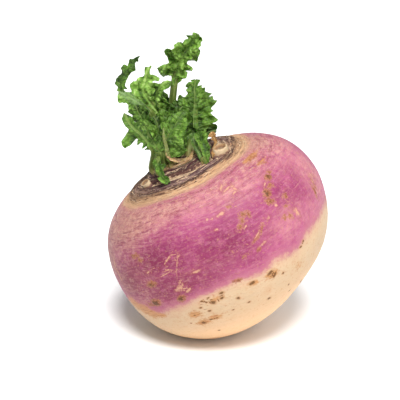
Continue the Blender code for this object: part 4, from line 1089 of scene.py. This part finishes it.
def make_cut_stalk(name, stalk, seed):
    """The stump of a cut leaf stalk: an uneven oval with a corky rim round a sunken brown middle."""
    radius, degrees = stalk["foot"]
    foot, out = foot_of(radius, degrees)
    foot = foot + CROWN + out * FOOT_DEPTH
    angle = math.radians(degrees)
    around_root = TO_WORLD @ np.array([-math.sin(angle), math.cos(angle), 0])
    up_slope = np.cross(out, around_root)
    sides = STUMP_SIDES
    section, _ = curve_through(STUMP, STUMP_ROWS)
    turn = np.arange(sides)[None, :] / sides * TAU
    size, level = section[:, 1:], section[:, :1]
    x, y = stalk["half"][0] * np.cos(turn), stalk["half"][1] * np.sin(turn)
    probe = np.stack([x * size, y * size, level * stalk["height"] + 0 * turn + seed * 5], -1)
    size = size * (1 + 0.07 * smooth_noise(probe, 2.5, seed)) + 0.03 * layered_noise(probe, 1.0, seed + 1)
    rise = level * stalk["height"] + 0.18 * layered_noise(probe, 1.5, seed + 2)
    points = foot + around_root * (x * size)[..., None] + up_slope * (y * size)[..., None]
    points = points + out * rise[..., None]
    flat = points.reshape(-1, 3)
    count = len(flat)
    middle = flat[count - sides:].mean(axis=0)
    bottom = flat[:sides].mean(axis=0)
    faces = grid_faces(len(section), sides, True).tolist()
    faces += fan(count - sides, sides, count) + fan(0, sides, count + 1, flip=True)
    inner = np.clip(np.linspace(0, 1, len(section))[:, None] + 0 * turn, 0, 1)
    values = {"place": np.vstack([probe.reshape(-1, 3), probe[-1].mean(0), probe[0].mean(0)]),
              "inward": np.r_[inner.ravel(), 1, 0]}
    made = add_mesh("turnip_" + name, np.vstack([flat, middle, bottom]), faces, values, stump_material(name))
    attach(made, "root")
    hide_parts(name)


def stump_material(name):
    """Cream corky rim, brown sunken middle and a plum-brown side."""
    p = Paint("turnip_" + name)
    place = p.place("place")
    fine = p.noise(place, 1.4, 3, 0.6)
    where = p.sum(p.value("inward"), p.swing(fine, 0.25))
    return p.grown(p.ramp(where, STUMP_COLOURS), 0.7, p.bump(fine, 0.25, 0.7), 0.1, (1.0, 0.6, 0.4))


FLOOR_HALF = 4.0  # metres
FLOOR_SHADE = colour((242, 242, 242), 1.0)


def make_floor():
    """A wide pale floor."""
    floor = bpy.data.meshes.new("floor")
    corners = [(x * FLOOR_HALF, y * FLOOR_HALF, 0) for x, y in ((-1, -1), (1, -1), (1, 1), (-1, 1))]
    floor.from_pydata(corners, [], [(0, 1, 2, 3)])
    pale = Paint("floor").finish(Base_Color=FLOOR_SHADE, Roughness=0.9, Specular_IOR_Level=0.1)
    floor.materials.append(pale)
    made = bpy.data.objects.new("floor", floor)
    bpy.context.scene.collection.objects.link(made)


# The distant lights: (the side it comes from, its spread in degrees, which softens shadows, its strength)
LIGHTS = {
    "key": ((0.04, -0.7, 1.0), 20, 4.45),
    "side": ((0.75, -0.35, 0.8), 60, 0.95),
    "front": ((0.3, -1.0, 0.12), 40, 0.5),
}
SURROUNDINGS = 0.39  # how bright the white surroundings are


def add_light(name, side, spread, strength):
    """A distant light."""
    lamp = bpy.data.lights.new(name, "SUN")
    lamp.angle = math.radians(spread)
    lamp.energy = strength
    made = bpy.data.objects.new(name, lamp)
    made.rotation_euler = (-Vector(side)).to_track_quat("-Z", "Y").to_euler()
    bpy.context.scene.collection.objects.link(made)


def set_studio():
    """White surroundings and the lights."""
    world = bpy.data.worlds.new("studio")
    world.use_nodes = True
    background = world.node_tree.nodes["Background"]
    background.inputs["Color"].default_value = (1, 1, 1, 1)
    background.inputs["Strength"].default_value = SURROUNDINGS
    bpy.context.scene.world = world
    for name, light in LIGHTS.items():
        add_light(name, *light)
    bpy.context.scene.view_settings.view_transform = "Standard"
    bpy.context.scene.view_settings.look = "None"


# The camera looks along +Y and down a little; the shifts are how far it aims off the root's middle
CAMERA_LENS = 110.0
CAMERA_DISTANCE = 484.0
CAMERA_DROP = math.radians(17.2)
AIM_LEFT, AIM_UP = 7.96, 15.53


def make_camera():
    """The one camera, at the height and distance that give the object its outline."""
    forward = Vector((0, math.cos(CAMERA_DROP), -math.sin(CAMERA_DROP)))
    up = Vector((0, math.sin(CAMERA_DROP), math.cos(CAMERA_DROP)))
    aim = Vector(ORIGIN) - Vector((1, 0, 0)) * AIM_LEFT + up * AIM_UP
    lens = bpy.data.cameras.new("camera")
    lens.lens = CAMERA_LENS
    lens.sensor_width = 36.0
    made = bpy.data.objects.new("camera", lens)
    made.location = (aim - forward * CAMERA_DISTANCE) * MM
    made.rotation_euler = forward.to_track_quat("-Z", "Y").to_euler()
    bpy.context.scene.collection.objects.link(made)
    bpy.context.scene.camera = made


make_camera()
set_studio()
make_floor()
make_root()
for index, (name, leaf) in enumerate(LEAVES.items()):
    make_leaf(name, leaf, index + 1, "dry_leaf" if name.startswith("dry") else "leaf")
for index, (name, stalk) in enumerate(CUT_STALKS.items()):
    make_cut_stalk(name, stalk, index + 1)
